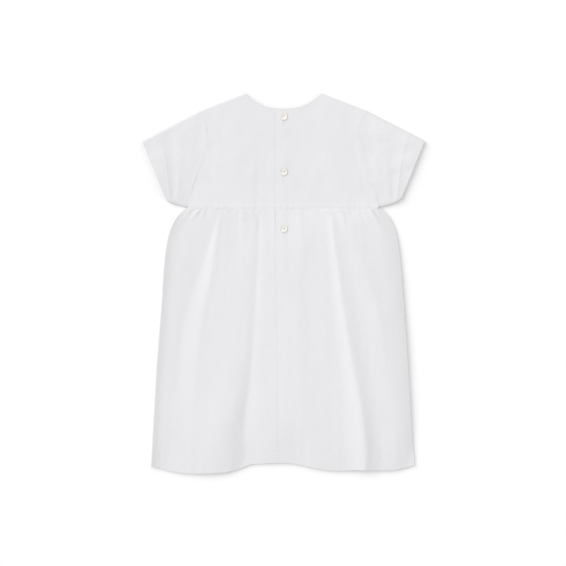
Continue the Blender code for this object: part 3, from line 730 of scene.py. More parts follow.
@dataclass(frozen=True)
class Linen:
    """Washed linen in a plain weave, with thick and thin threads and slubs in it.

    The threads are pitch metres apart. over_under is how far a crossing rises over the threads beside it.
    """

    name: str
    pale: tuple[float, float, float] = (0.822, 0.822, 0.836)
    deep: tuple[float, float, float] = (0.786, 0.786, 0.800)
    pitch: float = 0.00075
    over_under: float = 0.4
    thread_level: float = 0.6
    relief: float = 0.00011
    slub_relief: float = 0.00010
    slub_fineness: float = 950.0
    slub_length: float = 38.0
    slub_shade: float = 0.8
    cloud_fineness: float = 26.0
    cloud_shade: float = 0.5
    # painted shade: how much darker the colour is made in the gaps between the threads
    gap_painted_shade: float = 0.25
    roughness: float = 0.92
    thread_gloss: float = 0.08

    def thread_noise(self, graph: Graph, across: Wire, lengthwise: Wire, seed: float) -> Wire:
        """Unevenness that runs along the threads of one direction.

        Args:
            graph: The material's graph.
            across: Place across the threads, in metres.
            lengthwise: Place along them.
            seed: Shift that makes the two directions differ.

        Returns:
            A value of about 0 to 1.
        """
        spot = graph.wire("ShaderNodeCombineXYZ", {}, {
            0: across * self.slub_fineness + seed, 1: lengthwise * self.slub_length, 2: seed})
        return graph.wire("ShaderNodeTexNoise", {"noise_dimensions": "3D"},
                          {"Vector": spot, "Scale": 1.0, "Detail": 2.0, "Roughness": 0.55})

    def build(self) -> bpy.types.Material:
        """The linen's material, woven along the piece's own cut.

        Returns:
            A material that reads the UV map "cloth".
        """
        graph = Graph(self.name)
        chart = graph.node("ShaderNodeUVMap", {"uv_map": "cloth"}, {})
        parts = graph.node("ShaderNodeSeparateXYZ", {}, {0: Wire(graph, chart.outputs[0])})
        u, v = Wire(graph, parts.outputs[0]), Wire(graph, parts.outputs[1])
        warp, weft = (u * (math.pi / self.pitch)).cosine(), (v * (math.pi / self.pitch)).cosine()
        over = warp * weft * self.over_under
        level = self.thread_level
        weave = (warp.size() * (level + over)).larger(weft.size() * (level - over))
        warp_slubs = self.thread_noise(graph, u, v, 3.1)
        weft_slubs = self.thread_noise(graph, v, u, 17.4)
        slubs = (warp_slubs + weft_slubs) * 0.5
        height = weave * self.relief + slubs * self.slub_relief
        bump = graph.wire("ShaderNodeBump", {}, {"Strength": 1.0, "Distance": 1.0, "Height": height})
        cloudy = graph.wire("ShaderNodeTexNoise", {}, {
            "Vector": Wire(graph, chart.outputs[0]), "Scale": self.cloud_fineness, "Detail": 3.0,
            "Roughness": 0.5})
        # The colour is painted darker in the gaps between the threads, as the shade that falls there; slubs
        # and clouds are the linen's own uneven tone.
        share = slubs * self.slub_shade + cloudy * self.cloud_shade - (1.0 - weave) * self.gap_painted_shade
        colour = graph.blend(share, self.deep, self.pale)
        rough = self.roughness - weave * self.thread_gloss
        return graph.finish(
            {"Specular IOR Level": 0.18, "Sheen Weight": 0.06, "Sheen Roughness": 0.45},
            {"Base Color": colour, "Roughness": rough, "Normal": bump},
        )


@dataclass(frozen=True)
class Thread:
    """Spun sewing thread, a little smoother and brighter than the cloth."""

    name: str
    colour: tuple[float, float, float] = (0.83, 0.83, 0.84)
    # the darker colour, laid where the twist's bump is low: painted shade in its grooves
    shade: tuple[float, float, float] = (0.76, 0.76, 0.775)

    def build(self) -> bpy.types.Material:
        """The thread's material.

        Returns:
            A material with the twist of the strands as a fine bump.
        """
        graph = Graph(self.name)
        place = graph.wire("ShaderNodeTexCoord", {}, {}, "Object")
        twist = graph.wire("ShaderNodeTexNoise", {}, {"Vector": place, "Scale": 2400.0, "Detail": 1.0})
        bump = graph.wire("ShaderNodeBump", {}, {"Strength": 0.6, "Distance": 0.0001, "Height": twist})
        # The colour follows the same noise as the bump. It is darker in the low places, which is painted
        # shade in the twist's grooves, besides the thread's own uneven tone.
        return graph.finish(
            {"Roughness": 0.62, "Specular IOR Level": 0.35, "Sheen Weight": 0.1},
            {"Base Color": graph.blend(twist, self.shade, self.colour), "Normal": bump},
        )


@dataclass(frozen=True)
class Pearl:
    """Polished shell with faint clouds of rose and green in its ivory."""

    name: str
    ivory: tuple[float, float, float] = (0.87, 0.845, 0.79)
    rose: tuple[float, float, float] = (0.90, 0.83, 0.80)
    green: tuple[float, float, float] = (0.74, 0.79, 0.70)

    def build(self) -> bpy.types.Material:
        """The pearl's material.

        Returns:
            A glossy material with soft clouds of colour.
        """
        graph = Graph(self.name)
        place = graph.wire("ShaderNodeTexCoord", {}, {}, "Object")
        swirl = graph.wire("ShaderNodeTexNoise", {}, {
            "Vector": place, "Scale": 260.0, "Detail": 3.0, "Distortion": 1.6})
        clouds = graph.wire("ShaderNodeTexNoise", {}, {"Vector": place, "Scale": 420.0, "Detail": 2.0})
        ramp = graph.node("ShaderNodeValToRGB", {}, {0: swirl})
        stops = ramp.color_ramp.elements
        stops[0].position, stops[0].color = 0.34, (*self.green, 1.0)
        stops[1].position, stops[1].color = 0.66, (*self.rose, 1.0)
        middle = stops.new(0.5)
        middle.color = (*self.ivory, 1.0)
        bump = graph.wire("ShaderNodeBump", {}, {"Strength": 0.25, "Distance": 0.0002, "Height": clouds})
        return graph.finish(
            {"Specular IOR Level": 0.6, "Coat Roughness": 0.06},
            {"Base Color": Wire(graph, ramp.outputs[0]), "Roughness": clouds * 0.16 + 0.14, "Normal": bump,
             "Coat Weight": swirl * 0.5 + 0.35},
        )


@dataclass(frozen=True)
class Tabletop:
    """Plain white paper that the dress lies on."""

    name: str
    white: tuple[float, float, float] = (0.84, 0.84, 0.84)
    glow: float = 0.142

    def build(self) -> bpy.types.Material:
        """The paper's material."""
        return Graph(self.name).finish({
            "Base Color": (*self.white, 1.0), "Roughness": 1.0, "Specular IOR Level": 0.0,
            "Emission Color": (1.0, 1.0, 1.0, 1.0), "Emission Strength": self.glow}, {})


# The armhole, which the bodice and the sleeve share


@dataclass(frozen=True)
class Armhole:
    """The armhole's line from the shoulder to the underarm, on the right side of the dress."""

    shoulder: tuple[float, float] = (113.5, 23.8)
    shoulder_handle: tuple[float, float] = (87.0, 58.0)
    underarm_handle: tuple[float, float] = (120.0, 106.0)
    underarm: tuple[float, float] = (129.8, 154.1)
    slope_step: float = 0.5

    def path(self) -> Array:
        """Points along the line."""
        return bezier(self.shoulder, self.shoulder_handle, self.underarm_handle, self.underarm)

    def length(self) -> float:
        """Length of the line."""
        return path_length(self.path())

    def edge(self, shares: Array, outward: float) -> Array:
        """Points of the seam, moved away from the body.

        Args:
            shares: How far along the line each point lies, 0 at the shoulder, 1 at the underarm.
            outward: How far the points are moved.

        Returns:
            Plan points.
        """
        path = self.path()
        distances = shares * path_length(path)
        points = along(path, distances)
        ahead, behind = along(path, distances + self.slope_step), along(path, distances - self.slope_step)
        tangent = unit(ahead - behind)
        return points + outward * np.stack((tangent[:, 1], -tangent[:, 0]), axis=-1)

    def distance(self, x: Array, down: Array) -> Array:
        """Distance of points of the dress from the line on their own side, for soft shapes."""
        marks = self.path()[::6]
        return np.min(np.hypot(np.abs(x)[..., None] - marks[:, 0], down[..., None] - marks[:, 1]), axis=-1)


# Bodice

# Each half's pressed armhole seam and, further in, the pull that it gives the cloth
ARMHOLE_RELIEF = {
    Side.LEFT: (Line(1.0, 1.2, 0.04), Line(14.0, 4.0, -0.08)),
    Side.RIGHT: (Line(1.0, 1.2, -0.05), Line(10.5, 3.0, -0.20)),
}


@dataclass
class Bodice:
    """The bodice: a front, and a back in two halves of which the right one laps over the left one."""

    armhole: Armhole
    neck_half: float = 52.4
    back_neck: float = 20.4
    front_neck: float = 52.0
    fullness: float = 2.3
    neck_turn: float = 7.0
    neck_inset: float = 3.0
    lift: float = 4.8
    waist_lift: float = 5.4
    waist_rise: float = 22.0
    shoulder_roll: float = 2.0
    straight: float = 20.0
    fan: float = 0.25
    back_column: float = 1.25
    front_column: float = 1.9
    swell: float = 0.5
    swell_x: float = 66.0
    swell_half: float = 34.0
    swell_top: float = 60.0
    swell_low: float = 30.0
    pull_start: float = 62.0
    pull_run: float = 60.0
    left_trough: Fold = Fold("bodice_trough", (
        (0.0, -35.0, -0.42, 10.0, 26.0), (155.0, -30.35, -0.42, 10.0, 26.0)))
    right_trough: Crease = Crease(58.0, -0.05, 16.0, -0.35)
    neck_ledge: Ledge = Ledge(7.0, 1.6, 0.08)
    neck_stitches: Line = Line(3.4, 0.7, -0.10)
    front_neck_stitches: Line = Line(3.4, 0.7, 0.15)
    waist_allowance: Ledge = Ledge(7.7, 6.5, 0.45)
    front_allowance: Line = Line(5.5, 1.5, 0.2)
    waist_puckers: Puckers = Puckers(0.12, 0.62, 1.7, 0.13)
    pucker_reach: float = 6.0
    armhole_start: float = 60.0
    armhole_run: float = 30.0
    drift: Drift = Drift(11, 22.0, 75.0)
    back_drift: float = 0.22
    front_drift: float = 0.16
    ripple: Drift = Drift(23, 9.0, 20.0, 1.4)
    back_ripple: float = 0.03
    front_ripple: float = 0.05

    def neck_down(self, x: Array, depth: float) -> Array:
        """How far down the neck edge runs at x."""
        return depth * (1.0 - np.minimum(np.abs(x) / self.neck_half, 1.0) ** self.fullness)

    def upright(self, x: Array, down: Array) -> Array:
        """How upright the cloth looks near the rolled shoulder and underarm.

        Args:
            x: Places across, without their sign.
            down: Places down.

        Returns:
            0 on the outermost line, 1 away from it.
        """
        run, drop = self.armhole.shoulder[0] - self.neck_half, self.armhole.shoulder[1]
        from_shoulder = (down * run - (x - self.neck_half) * drop) / math.hypot(run, drop)
        corner = np.hypot(self.armhole.underarm[0] - x, self.armhole.underarm[1] - down)
        return np.minimum(rolled(from_shoulder, self.shoulder_roll), rolled(corner, self.shoulder_roll))

    def back_relief(self, x: Array, down: Array) -> Array:
        """Soft shapes and sewn lines of the back bodice.

        Args:
            x: Places across.
            down: Places down.

        Returns:
            What they add to its height.
        """
        above_waist = WAIST - down
        from_neck = down - self.neck_down(x, self.back_neck)
        held = ease(down / self.swell_top) * ease(above_waist / self.swell_low)
        pull = ease((down - self.pull_start) / self.pull_run)
        total = (self.waist_lift - self.lift) * ease(1.0 - above_waist / self.waist_rise)
        total = total + self.swell * hump(np.abs(x) - self.swell_x, self.swell_half) * held
        total = total + pull * self.left_trough.height(x, above_waist)
        total = total + pull * self.right_trough.at(x, above_waist)
        total = total + self.waist_allowance.at(above_waist)
        total = total + self.waist_puckers.at(x) * np.exp(-above_waist / self.pucker_reach)
        total = total + relief((self.neck_ledge, self.neck_stitches), from_neck)
        return total + self.back_drift * self.drift.at(x, down) + self.back_ripple * self.ripple.at(x, down)

    def armhole_relief(self, x: Array, down: Array, side: Side) -> Array:
        """The armhole's pressed seam and the pulls beside it.

        Args:
            x: Places across.
            down: Places down.
            side: Which half.

        Returns:
            What they add to the height.
        """
        seam, pull = ARMHOLE_RELIEF[side]
        distance = self.armhole.distance(x, down)
        return seam.at(distance) + pull.at(distance) * ease((down - self.armhole_start) / self.armhole_run)

    def back_height(self, x: Array, down: Array, side: Side) -> Array:
        """Height of the back bodice's outer face.

        Args:
            x: Places across.
            down: Places down.
            side: Which half.

        Returns:
            The heights.
        """
        off = x + LAP
        flat = self.lift + self.back_relief(x, down) + self.armhole_relief(x, down, side)
        flat = flat + relief(OPENING_RELIEF[side], off) + lap_level(off, side)
        return SEAM_LIFT + (flat - SEAM_LIFT) * self.upright(np.abs(x), down)

    def front_height(self, x: Array, down: Array) -> Array:
        """Height of the front bodice's outer face, which looks down.

        Args:
            x: Places across.
            down: Places down.

        Returns:
            The heights.
        """
        waves = self.front_drift * self.drift.at(-x, down) + self.front_ripple * self.ripple.at(-x, down)
        from_neck = down - self.neck_down(x, self.front_neck)
        lines = self.front_neck_stitches.at(from_neck) + self.front_allowance.at(WAIST - down)
        return SEAM_LIFT - (SEAM_LIFT - np.maximum(waves, 0.0) - lines) * self.upright(np.abs(x), down)

    def plan(self, neck_depth: float, centre: float, step: float) -> Array:
        """Plan grid of one half, from the waist up to the top and from the armhole to the centre.

        Args:
            neck_depth: Depth of the neck.
            centre: x of the inner edge.
            step: Spacing of the columns.

        Returns:
            Rows by columns by 2.
        """
        length = self.armhole.length()
        start = length - roll_places(self.shoulder_roll)[::-1]
        distances = np.concatenate((roll_places(self.shoulder_roll)[:-1], ruled(
            self.shoulder_roll, (9.0, 0.6), (length - 10.0, 1.35), (start[0], 0.6)), start[1:]))
        shares = distances[::-1] / length
        left = self.armhole.edge(shares, -SEAM_GAP - SEAM_RADIUS)
        waist = WAIST - SEAM_GAP - SEAM_RADIUS
        left[:, 1] = np.minimum(left[:, 1], waist)
        left[0, 1] = waist
        run = math.dist(self.armhole.shoulder, (self.neck_half, 0.0))
        seam = np.linspace(0.0, 1.0, round(run / step) + 1)[:-1, None]
        shoulder = left[-1] * (1.0 - seam) + np.array((self.neck_half, 0.0)) * seam
        places = ruled(-self.neck_half, (-LAP - 4.0, step), (-LAP + 6.0, 0.5 * step), (-centre, 0.8 * step))
        neck_x = -places
        inset = FOLD_RADIUS * ease((self.neck_half - neck_x) / self.neck_inset)
        neck = np.stack((neck_x, self.neck_down(neck_x, neck_depth) + inset), axis=-1)
        top = np.concatenate((shoulder, neck))
        below = self.neck_half * (1.0 + self.fan)
        out_x = left[0, 0] * (1.0 - seam[:, 0]) + below * seam[:, 0]
        low_x = np.concatenate((out_x, neck_x * (1.0 + self.fan * (neck_x / self.neck_half) ** 2)))
        bottom = np.stack((low_x, np.full(len(low_x), waist)), axis=-1)
        edge_down = waist - (waist - top[-1, 1]) * (1.0 - shares)
        right = np.stack((np.full(len(shares), centre), edge_down), axis=-1)
        across = 1.0 - np.maximum(top[:, 0] - self.straight, 0.0) / (top[0, 0] - self.straight)
        return between(bottom, top, left, right, 1.0 - shares, across)

    def back_half(self, side: Side) -> Panel:
        """One half of the back bodice.

        Args:
            side: Right for the upper half, left for the under half, which carries the buttons.

        Returns:
            The laid panel.
        """
        inner = -LAP + (LAP_RADIUS if side is Side.RIGHT else 0.0)
        plan = self.plan(self.back_neck, inner, self.back_column)
        x, down = plan[..., 0] * side.value, plan[..., 1]
        points = frame_points(x, down, self.back_height(x, down, side))
        panel = Panel.laid(points, np.stack((x, -down), axis=-1), Layer.BACK)
        panel = panel.turned(1, False).turned(0, False)
        panel = panel.turned(1, True, radius=LAP_RADIUS if side is Side.RIGHT else SEAM_RADIUS)
        return panel.turned(0, True, back=self.neck_turn)

    def front(self) -> Panel:
        """The front bodice, flat on the surface, with the deeper neck.

        Returns:
            The laid panel.
        """
        plan = self.plan(self.front_neck, 0.0, self.front_column)
        mirrored = plan[:, -2::-1] * (-1.0, 1.0)
        plan = np.concatenate((plan, mirrored), axis=1)
        x, down = plan[..., 0], plan[..., 1]
        points = frame_points(x, down, self.front_height(x, down))
        panel = Panel.laid(points, np.stack((x, -down), axis=-1), Layer.FRONT)
        return panel.turned(1, False).turned(1, True).turned(0, False).turned(0, True, back=self.neck_turn)


# Sleeves

# Creases from the armhole to the cuff, by their share of the way from the overarm to the underarm
SLEEVE_CREASES = {
    Side.LEFT: (Crease(0.52, -0.20, 0.17, 0.42), Crease(0.24, -0.05, 0.14, -0.36)),
    Side.RIGHT: (Crease(0.60, -0.22, 0.15, 0.52), Crease(0.33, -0.10, 0.16, -0.40),
                 Crease(0.14, 0.0, 0.10, 0.25)),
}


@dataclass
class Sleeve:
    """A short set-in sleeve: a flattened tube with a turned and stitched hem."""

    armhole: Armhole
    bodice_lift: float = 4.8
    cuff_top: tuple[float, float] = (191.2, 64.0)
    cuff_low: tuple[float, float] = (159.0, 144.0)
    underarm_bend: tuple[float, float] = (155.0, 150.0)
    cuff_lift: float = 6.2
    rise_share: float = 0.75
    hem: float = 20.0
    inset_start: float = 0.7
    armhole_roll: float = 2.0
    cuff_roll: float = 3.0
    underarm_roll: float = 4.5
    underarm_share: float = 0.4
    upper_columns: int = 64
    lower_columns: int = 34
    edge_share: float = 0.055
    dent: Crease = Crease(16.0, 0.0, 15.0, -0.75)
    dent_fade: float = 0.15
    hem_edge: tuple[Ledge, Line, Line] = (Ledge(0.8, 1.6, 0.10), Line(-1.0, 0.8, -0.10), Line(3.0, 2.2, 0.20))
    hem_puckers: Puckers = Puckers(0.03, 74.0, 2.0, 9.0)
    pucker_reach: float = 6.0
    armhole_edge: Ledge = Ledge(7.0, 2.5, 0.03)
    lower_stitches: Line = Line(-1.0, 0.8, 0.2)
    crease_start: float = 0.25
    crease_end: float = 0.22
    drift: Drift = Drift(37, 20.0, 60.0)
    upper_drift: float = 0.24
    lower_drift: float = 0.2
    ripple: Drift = Drift(41, 8.0, 18.0, 1.0)
    rippled: float = 0.05

    def run(self) -> float:
        """Length over the arm, from the armhole seam to the cuff."""
        return math.dist(self.armhole.shoulder, self.cuff_top)

    def plan(self, stations: Array, shares: Array) -> Array:
        """Plan grid of one layer.

        Args:
            stations: How far from the armhole to the cuff each row lies, 0 to 1.
            shares: How far from the overarm to the underarm each column lies, 0 to 1.

        Returns:
            Rows by columns by 2.
        """
        at_armhole = self.armhole.edge(shares, SEAM_GAP + SEAM_RADIUS)
        over, under = self.armhole.edge(np.array([0.0, 1.0]), SEAM_GAP + SEAM_RADIUS)
        top, low = np.array(self.cuff_top), np.array(self.cuff_low)
        at_cuff = top * (1.0 - shares[:, None]) + low * shares[:, None]
        lower = bezier(tuple(under), self.underarm_bend, self.cuff_low)
        over_edge = over * (1.0 - stations[:, None]) + top * stations[:, None]
        under_edge = along(lower, stations * path_length(lower))
        grid = between(at_armhole, at_cuff, over_edge, under_edge, stations, shares)
        out = (top - over) / np.linalg.norm(top - over)
        inset = ease((stations[:, None, None] - self.inset_start) / (1.0 - self.inset_start))
        return grid - out * FOLD_RADIUS * inset

    def upper_height(self, plan: Array, station: Array, share: Array, side: Side) -> Array:
        """Height of the upper layer away from its rolled edges.

        Args:
            plan: Plan points.
            station: Each point's place between armhole and cuff, 0 to 1.
            share: Its place between overarm and underarm, 0 to 1.
            side: Which sleeve it is.

        Returns:
            The heights.
        """
        above_hem = (1.0 - station) * self.run() - self.hem
        held = ease(station / self.crease_start) * ease((1.0 - station) / self.crease_end)
        dented = ease(share / self.dent_fade) * ease((1.0 - share) / self.dent_fade)
        x, down = plan[..., 0] * side.value, plan[..., 1]
        lift = self.bodice_lift + (self.cuff_lift - self.bodice_lift) * ease(station / self.rise_share)
        lift = lift + self.dent.at(above_hem, share) * dented
        lift = lift + relief(self.hem_edge, above_hem)
        lift = lift + self.hem_puckers.at(share) * bell(above_hem, self.pucker_reach)
        lift = lift + self.armhole_edge.at(station * self.run())
        for crease in SLEEVE_CREASES[side]:
            lift = lift + held * crease.at(share, station)
        return lift + self.upper_drift * self.drift.at(x, down) + self.rippled * self.ripple.at(x, down)

    def lower_height(self, plan: Array, station: Array, side: Side) -> Array:
        """Height of the lower layer's outer face, which rests on the surface.

        Args:
            plan: Plan points.
            station: Each point's place between armhole and cuff, 0 to 1.
            side: Which sleeve it is.

        Returns:
            The heights.
        """
        x, down = plan[..., 0] * side.value, plan[..., 1]
        waves = self.lower_drift * self.drift.at(down, x) + self.rippled * self.ripple.at(down, x)
        return np.maximum(waves, 0.0) + self.lower_stitches.at((1.0 - station) * self.run() - self.hem)

    def layer(self, stations: Array, side: Side, upper: bool) -> Array:
        """Points of one layer, its columns from the overarm to the underarm.

        Args:
            stations: Places of the rows from the armhole to the cuff, 0 to 1.
            side: Which sleeve it is.
            upper: Whether it is the upper layer or the one that it lies on.

        Returns:
            Rows by columns by 3.
        """
        ends = self.edge_share * roll_places(1.0, 6)
        count = self.upper_columns if upper else self.lower_columns
        middle = np.linspace(self.edge_share, 1.0 - self.edge_share, count)[1:-1]
        shares = np.concatenate((ends, middle, 1.0 - ends[::-1]))
        plan = self.plan(stations, shares)
        station, share = np.broadcast_arrays(stations[:, None], shares[None, :])
        width = np.linalg.norm(plan[:, -1] - plan[:, 0], axis=-1)[:, None]
        wide = self.cuff_roll if upper else self.armhole_roll
        over = self.armhole_roll + (wide - self.armhole_roll) * ease(station)
        rounder = ease(station / self.underarm_share)
        under = self.armhole_roll + (self.underarm_roll - self.armhole_roll) * rounder
        upright = rolled(share * width, over) * rolled((1.0 - share) * width, under)
        if upper:
            z = SEAM_LIFT + (self.upper_height(plan, station, share, side) - SEAM_LIFT) * upright
        else:
            z = SEAM_LIFT - (SEAM_LIFT - self.lower_height(plan, station, side)) * upright
        return frame_points(plan[..., 0] * side.value, plan[..., 1], z)

    def stations(self) -> Array:
        """Places of the rows from the armhole to the cuff, 0 to 1.

        Returns:
            The places, closer at the seam, the stitch line and the cuff.
        """
        run, stitched = self.run(), self.run() - self.hem
        marks = ruled(0.0, (8.0, 0.9), (stitched - 8.0, 1.6), (stitched + 1.0, 0.75), (run - 3.0, 1.6),
                      (run, 0.6))
        return marks / run

    def tube(self, side: Side) -> Panel:
        """The sleeve, open along its underarm seam, round from there over the top and back.

        Args:
            side: Which sleeve.

        Returns:
            The laid panel.
        """
        stations = self.stations()
        upper, lower = self.layer(stations, side, True), self.layer(stations, side, False)
        points = np.concatenate((upper[:, ::-1], lower[:, 1:]), axis=1)
        around = travelled(points[points.shape[0] // 2])
        cloth = np.stack(np.broadcast_arrays(around[None, :], -self.run() * stations[:, None]), axis=-1)
        panel = Panel.laid(points, cloth, Layer.BACK)
        panel = panel.turned(0, False).turned(1, False).turned(1, True)
        return panel.turned(0, True, back=self.hem)


# Skirt

# Each fold's stations: depth, x of its crest, height, width of its left and of its right flank
BACK_FOLDS = (
    Fold("left_hollow", (
        (0.0, -91.2, -0.38, 59.3, 9.2), (20.0, -93.4, -0.74, 60.0, 9.5), (46.0, -100.1, -1.73, 60.0, 12.2),
        (65.0, -105.4, -2.01, 54.8, 17.3), (84.0, -111.5, -2.48, 46.7, 27.5),
        (111.0, -121.0, -2.11, 35.0, 36.5), (165.0, -134.9, -1.27, 23.4, 42.7),
        (219.0, -141.0, -0.76, 17.7, 41.9), (246.0, -143.1, -0.72, 17.2, 42.3),
        (293.0, -148.7, -0.25, 17.0, 41.3), (330.0, -154.0, -0.62, 19.7, 41.2),
        (359.0, -158.5, -0.62, 19.7, 41.2))),
    Fold("left_ridge", (
        (0.0, -85.1, 0.28, 5.0, 9.1), (20.0, -87.3, 0.35, 5.0, 7.6), (46.0, -91.8, 0.28, 9.7, 7.7),
        (65.0, -94.4, 0.51, 13.1, 8.6), (84.0, -96.6, 0.75, 14.2, 10.5), (111.0, -101.6, 0.81, 15.9, 11.6),
        (165.0, -112.2, 0.78, 24.3, 15.5), (219.0, -118.3, 0.81, 27.7, 20.2),
        (246.0, -119.4, 0.48, 29.2, 20.3), (293.0, -122.5, 0.23, 31.6, 17.6),
        (330.0, -125.1, 0.38, 32.7, 15.4), (359.0, -125.6, 0.38, 32.7, 15.4))),
    Fold("left_swell", (
        (0.0, -59.3, -0.85, 50.6, 55.0), (20.0, -60.5, -1.21, 56.0, 54.6),
        (46.0, -65.3, -1.16, 60.0, 56.4), (65.0, -67.4, -0.95, 60.0, 56.1),
        (84.0, -68.7, -0.61, 60.0, 56.3), (111.0, -68.7, -0.21, 60.0, 56.7),
        (165.0, -68.2, 0.16, 56.9, 57.2), (219.0, -71.9, 0.95, 54.1, 60.0),
        (246.0, -76.4, 1.04, 55.3, 60.0), (293.0, -84.4, 1.96, 58.8, 60.0),
        (330.0, -91.0, 2.13, 56.5, 60.0), (359.0, -96.9, 2.13, 56.5, 60.0))),
    Fold("left_valley", (
        (0.0, -34.7, -0.13, 5.9, 9.6), (20.0, -32.7, -0.65, 5.0, 6.6), (46.0, -33.2, -0.68, 10.7, 9.8),
        (65.0, -34.2, -0.70, 12.0, 9.7), (84.0, -35.3, -0.85, 15.4, 10.9),
        (111.0, -36.3, -0.88, 15.5, 11.0), (165.0, -39.6, -0.98, 11.6, 14.1),
        (219.0, -43.6, -1.34, 16.1, 17.3), (246.0, -45.8, -2.14, 19.7, 26.5),
        (293.0, -52.0, -2.79, 23.2, 34.3), (330.0, -52.5, -2.77, 28.1, 40.0),
        (359.0, -49.8, -2.77, 28.1, 40.0))),
    Fold("middle_swell", (
        (0.0, 30.7, 0.92, 60.0, 60.0), (20.0, 30.6, 1.42, 60.0, 60.0), (46.0, 28.6, 2.35, 60.0, 60.0),
        (65.0, 28.8, 2.18, 60.0, 60.0), (84.0, 29.2, 1.74, 60.0, 60.0), (111.0, 28.3, 1.18, 60.0, 60.0),
        (165.0, 25.9, 1.38, 60.0, 60.0), (219.0, 25.7, 1.37, 60.0, 60.0), (246.0, 26.4, 1.16, 60.0, 57.0),
        (293.0, 27.0, 0.50, 60.0, 38.9), (330.0, 26.3, -0.73, 60.0, 25.2),
        (359.0, 27.4, -0.73, 60.0, 25.2))),
    Fold("middle_dip", (
        (0.0, 34.0, -0.19, 11.6, 18.8), (20.0, 34.5, -0.15, 12.9, 19.6), (46.0, 35.4, -0.32, 13.3, 22.0),
        (65.0, 35.0, -0.56, 15.6, 23.5), (84.0, 35.1, -0.66, 18.7, 25.5), (111.0, 34.7, -0.77, 26.6, 27.8),
        (165.0, 36.3, -0.73, 31.8, 34.0), (219.0, 37.7, -0.56, 34.5, 38.3),
        (246.0, 39.6, -0.19, 35.3, 40.5), (293.0, 42.9, 0.14, 36.7, 43.7), (330.0, 45.6, 0.38, 37.5, 43.4),
        (359.0, 48.5, 0.38, 37.5, 43.4))),
    Fold("right_ridge", (
        (0.0, 65.0, 1.14, 15.9, 21.6), (20.0, 66.0, 1.61, 12.0, 12.9), (46.0, 68.8, 1.78, 12.1, 21.8),
        (65.0, 71.3, 1.89, 12.4, 23.4), (84.0, 74.3, 2.16, 14.3, 22.3), (111.0, 78.1, 2.45, 16.1, 23.3),
        (165.0, 85.9, 3.16, 19.2, 27.4), (219.0, 95.2, 3.44, 22.4, 26.4), (246.0, 99.9, 3.73, 24.5, 25.8),
        (293.0, 106.9, 4.12, 29.9, 23.4), (330.0, 110.0, 4.28, 30.7, 24.4),
        (359.0, 110.3, 4.28, 30.7, 24.4))),
    Fold("far_right_ridge", (
        (0.0, 86.4, 0.65, 51.9, 47.0), (20.0, 87.6, 1.94, 58.8, 51.8), (46.0, 94.9, 2.77, 60.0, 51.7),
        (65.0, 101.2, 2.49, 60.0, 45.7), (84.0, 107.7, 2.60, 60.0, 40.1), (111.0, 117.3, 2.14, 60.0, 30.7),
        (165.0, 131.3, 1.50, 60.0, 21.3), (219.0, 137.0, 0.73, 52.4, 15.4),
        (246.0, 139.1, 0.47, 45.6, 17.3), (293.0, 145.9, 0.00, 38.2, 16.6),
        (330.0, 147.8, 0.26, 35.7, 14.2), (359.0, 149.6, 0.26, 35.7, 14.2))),
)

BACK_GATHERS = (
    Gather(-124.5, -27.7, 0.56, 7.5, 6.0, 45.5),
    Gather(-111.5, -18.0, 1.05, 5.0, 5.0, 22.0),
    Gather(-107.0, -3.0, 0.70, 3.0, 3.5, 20.0),
    Gather(-98.9, 6.8, 0.31, 3.5, 8.7, 30.8),
    Gather(-87.8, 4.8, -0.66, 3.6, 5.2, 8.0),
    Gather(-75.8, -0.4, 0.66, 2.9, 4.8, 8.6),
    Gather(-62.6, 2.8, 1.12, 6.4, 4.6, 8.0),
    Gather(-56.1, 2.4, 0.73, 5.5, 10.9, 60.0),
    Gather(-45.5, 10.8, 0.40, 6.4, 5.0, 36.1),
    Gather(-25.3, -0.6, 0.13, 2.6, 3.1, 30.2),
    Gather(-13.1, 3.5, 0.34, 6.1, 2.6, 60.0),
    Gather(0.7, -3.3, 0.25, 6.8, 5.5, 26.2),
    Gather(21.9, 4.3, 0.34, 7.7, 5.7, 60.0),
    Gather(33.4, 2.1, -0.17, 6.2, 4.8, 21.7),
    Gather(44.3, 5.5, 0.27, 8.5, 7.4, 32.2),
    Gather(54.4, 11.4, 0.85, 8.8, 11.2, 17.8),
    Gather(73.5, 4.5, 1.44, 7.3, 3.9, 8.0),
    Gather(78.8, 7.4, 0.68, 7.6, 3.9, 55.4),
    Gather(85.2, 0.1, 0.51, 5.9, 6.1, 19.0),
    Gather(100.6, 1.3, 0.47, 4.9, 5.6, 19.9),
    Gather(107.3, 14.3, 0.58, 3.9, 13.1, 33.9),
    Gather(115.8, 22.5, 1.36, 5.4, 5.0, 34.6),
    Gather(124.5, 10.9, 1.03, 3.1, 2.8, 13.1),
)

FRONT_FOLDS = (
    Fold("left_trough", (
        (0.0, -82.0, 0.3, 8.0, 7.0), (80.0, -93.0, 0.9, 16.0, 13.0), (180.0, -106.0, 1.3, 20.0, 16.0),
        (300.0, -118.0, 1.6, 22.0, 18.0), (359.0, -124.0, 1.6, 22.0, 18.0))),
    Fold("middle_trough", (
        (0.0, 2.0, 0.2, 8.0, 8.0), (90.0, -1.0, 0.8, 18.0, 15.0), (200.0, -7.0, 1.2, 22.0, 20.0),
        (359.0, -14.0, 1.6, 24.0, 22.0))),
    Fold("right_trough", (
        (0.0, 42.0, 0.2, 7.0, 7.0), (110.0, 50.0, 0.7, 13.0, 15.0), (220.0, 59.0, 1.1, 16.0, 18.0),
        (359.0, 70.0, 1.5, 18.0, 20.0))),
    Fold("far_right_trough", (
        (0.0, 96.0, 0.3, 7.0, 7.0), (100.0, 114.0, 0.9, 13.0, 14.0), (200.0, 129.0, 1.1, 16.0, 18.0),
        (359.0, 147.0, 1.4, 16.0, 14.0))),
)

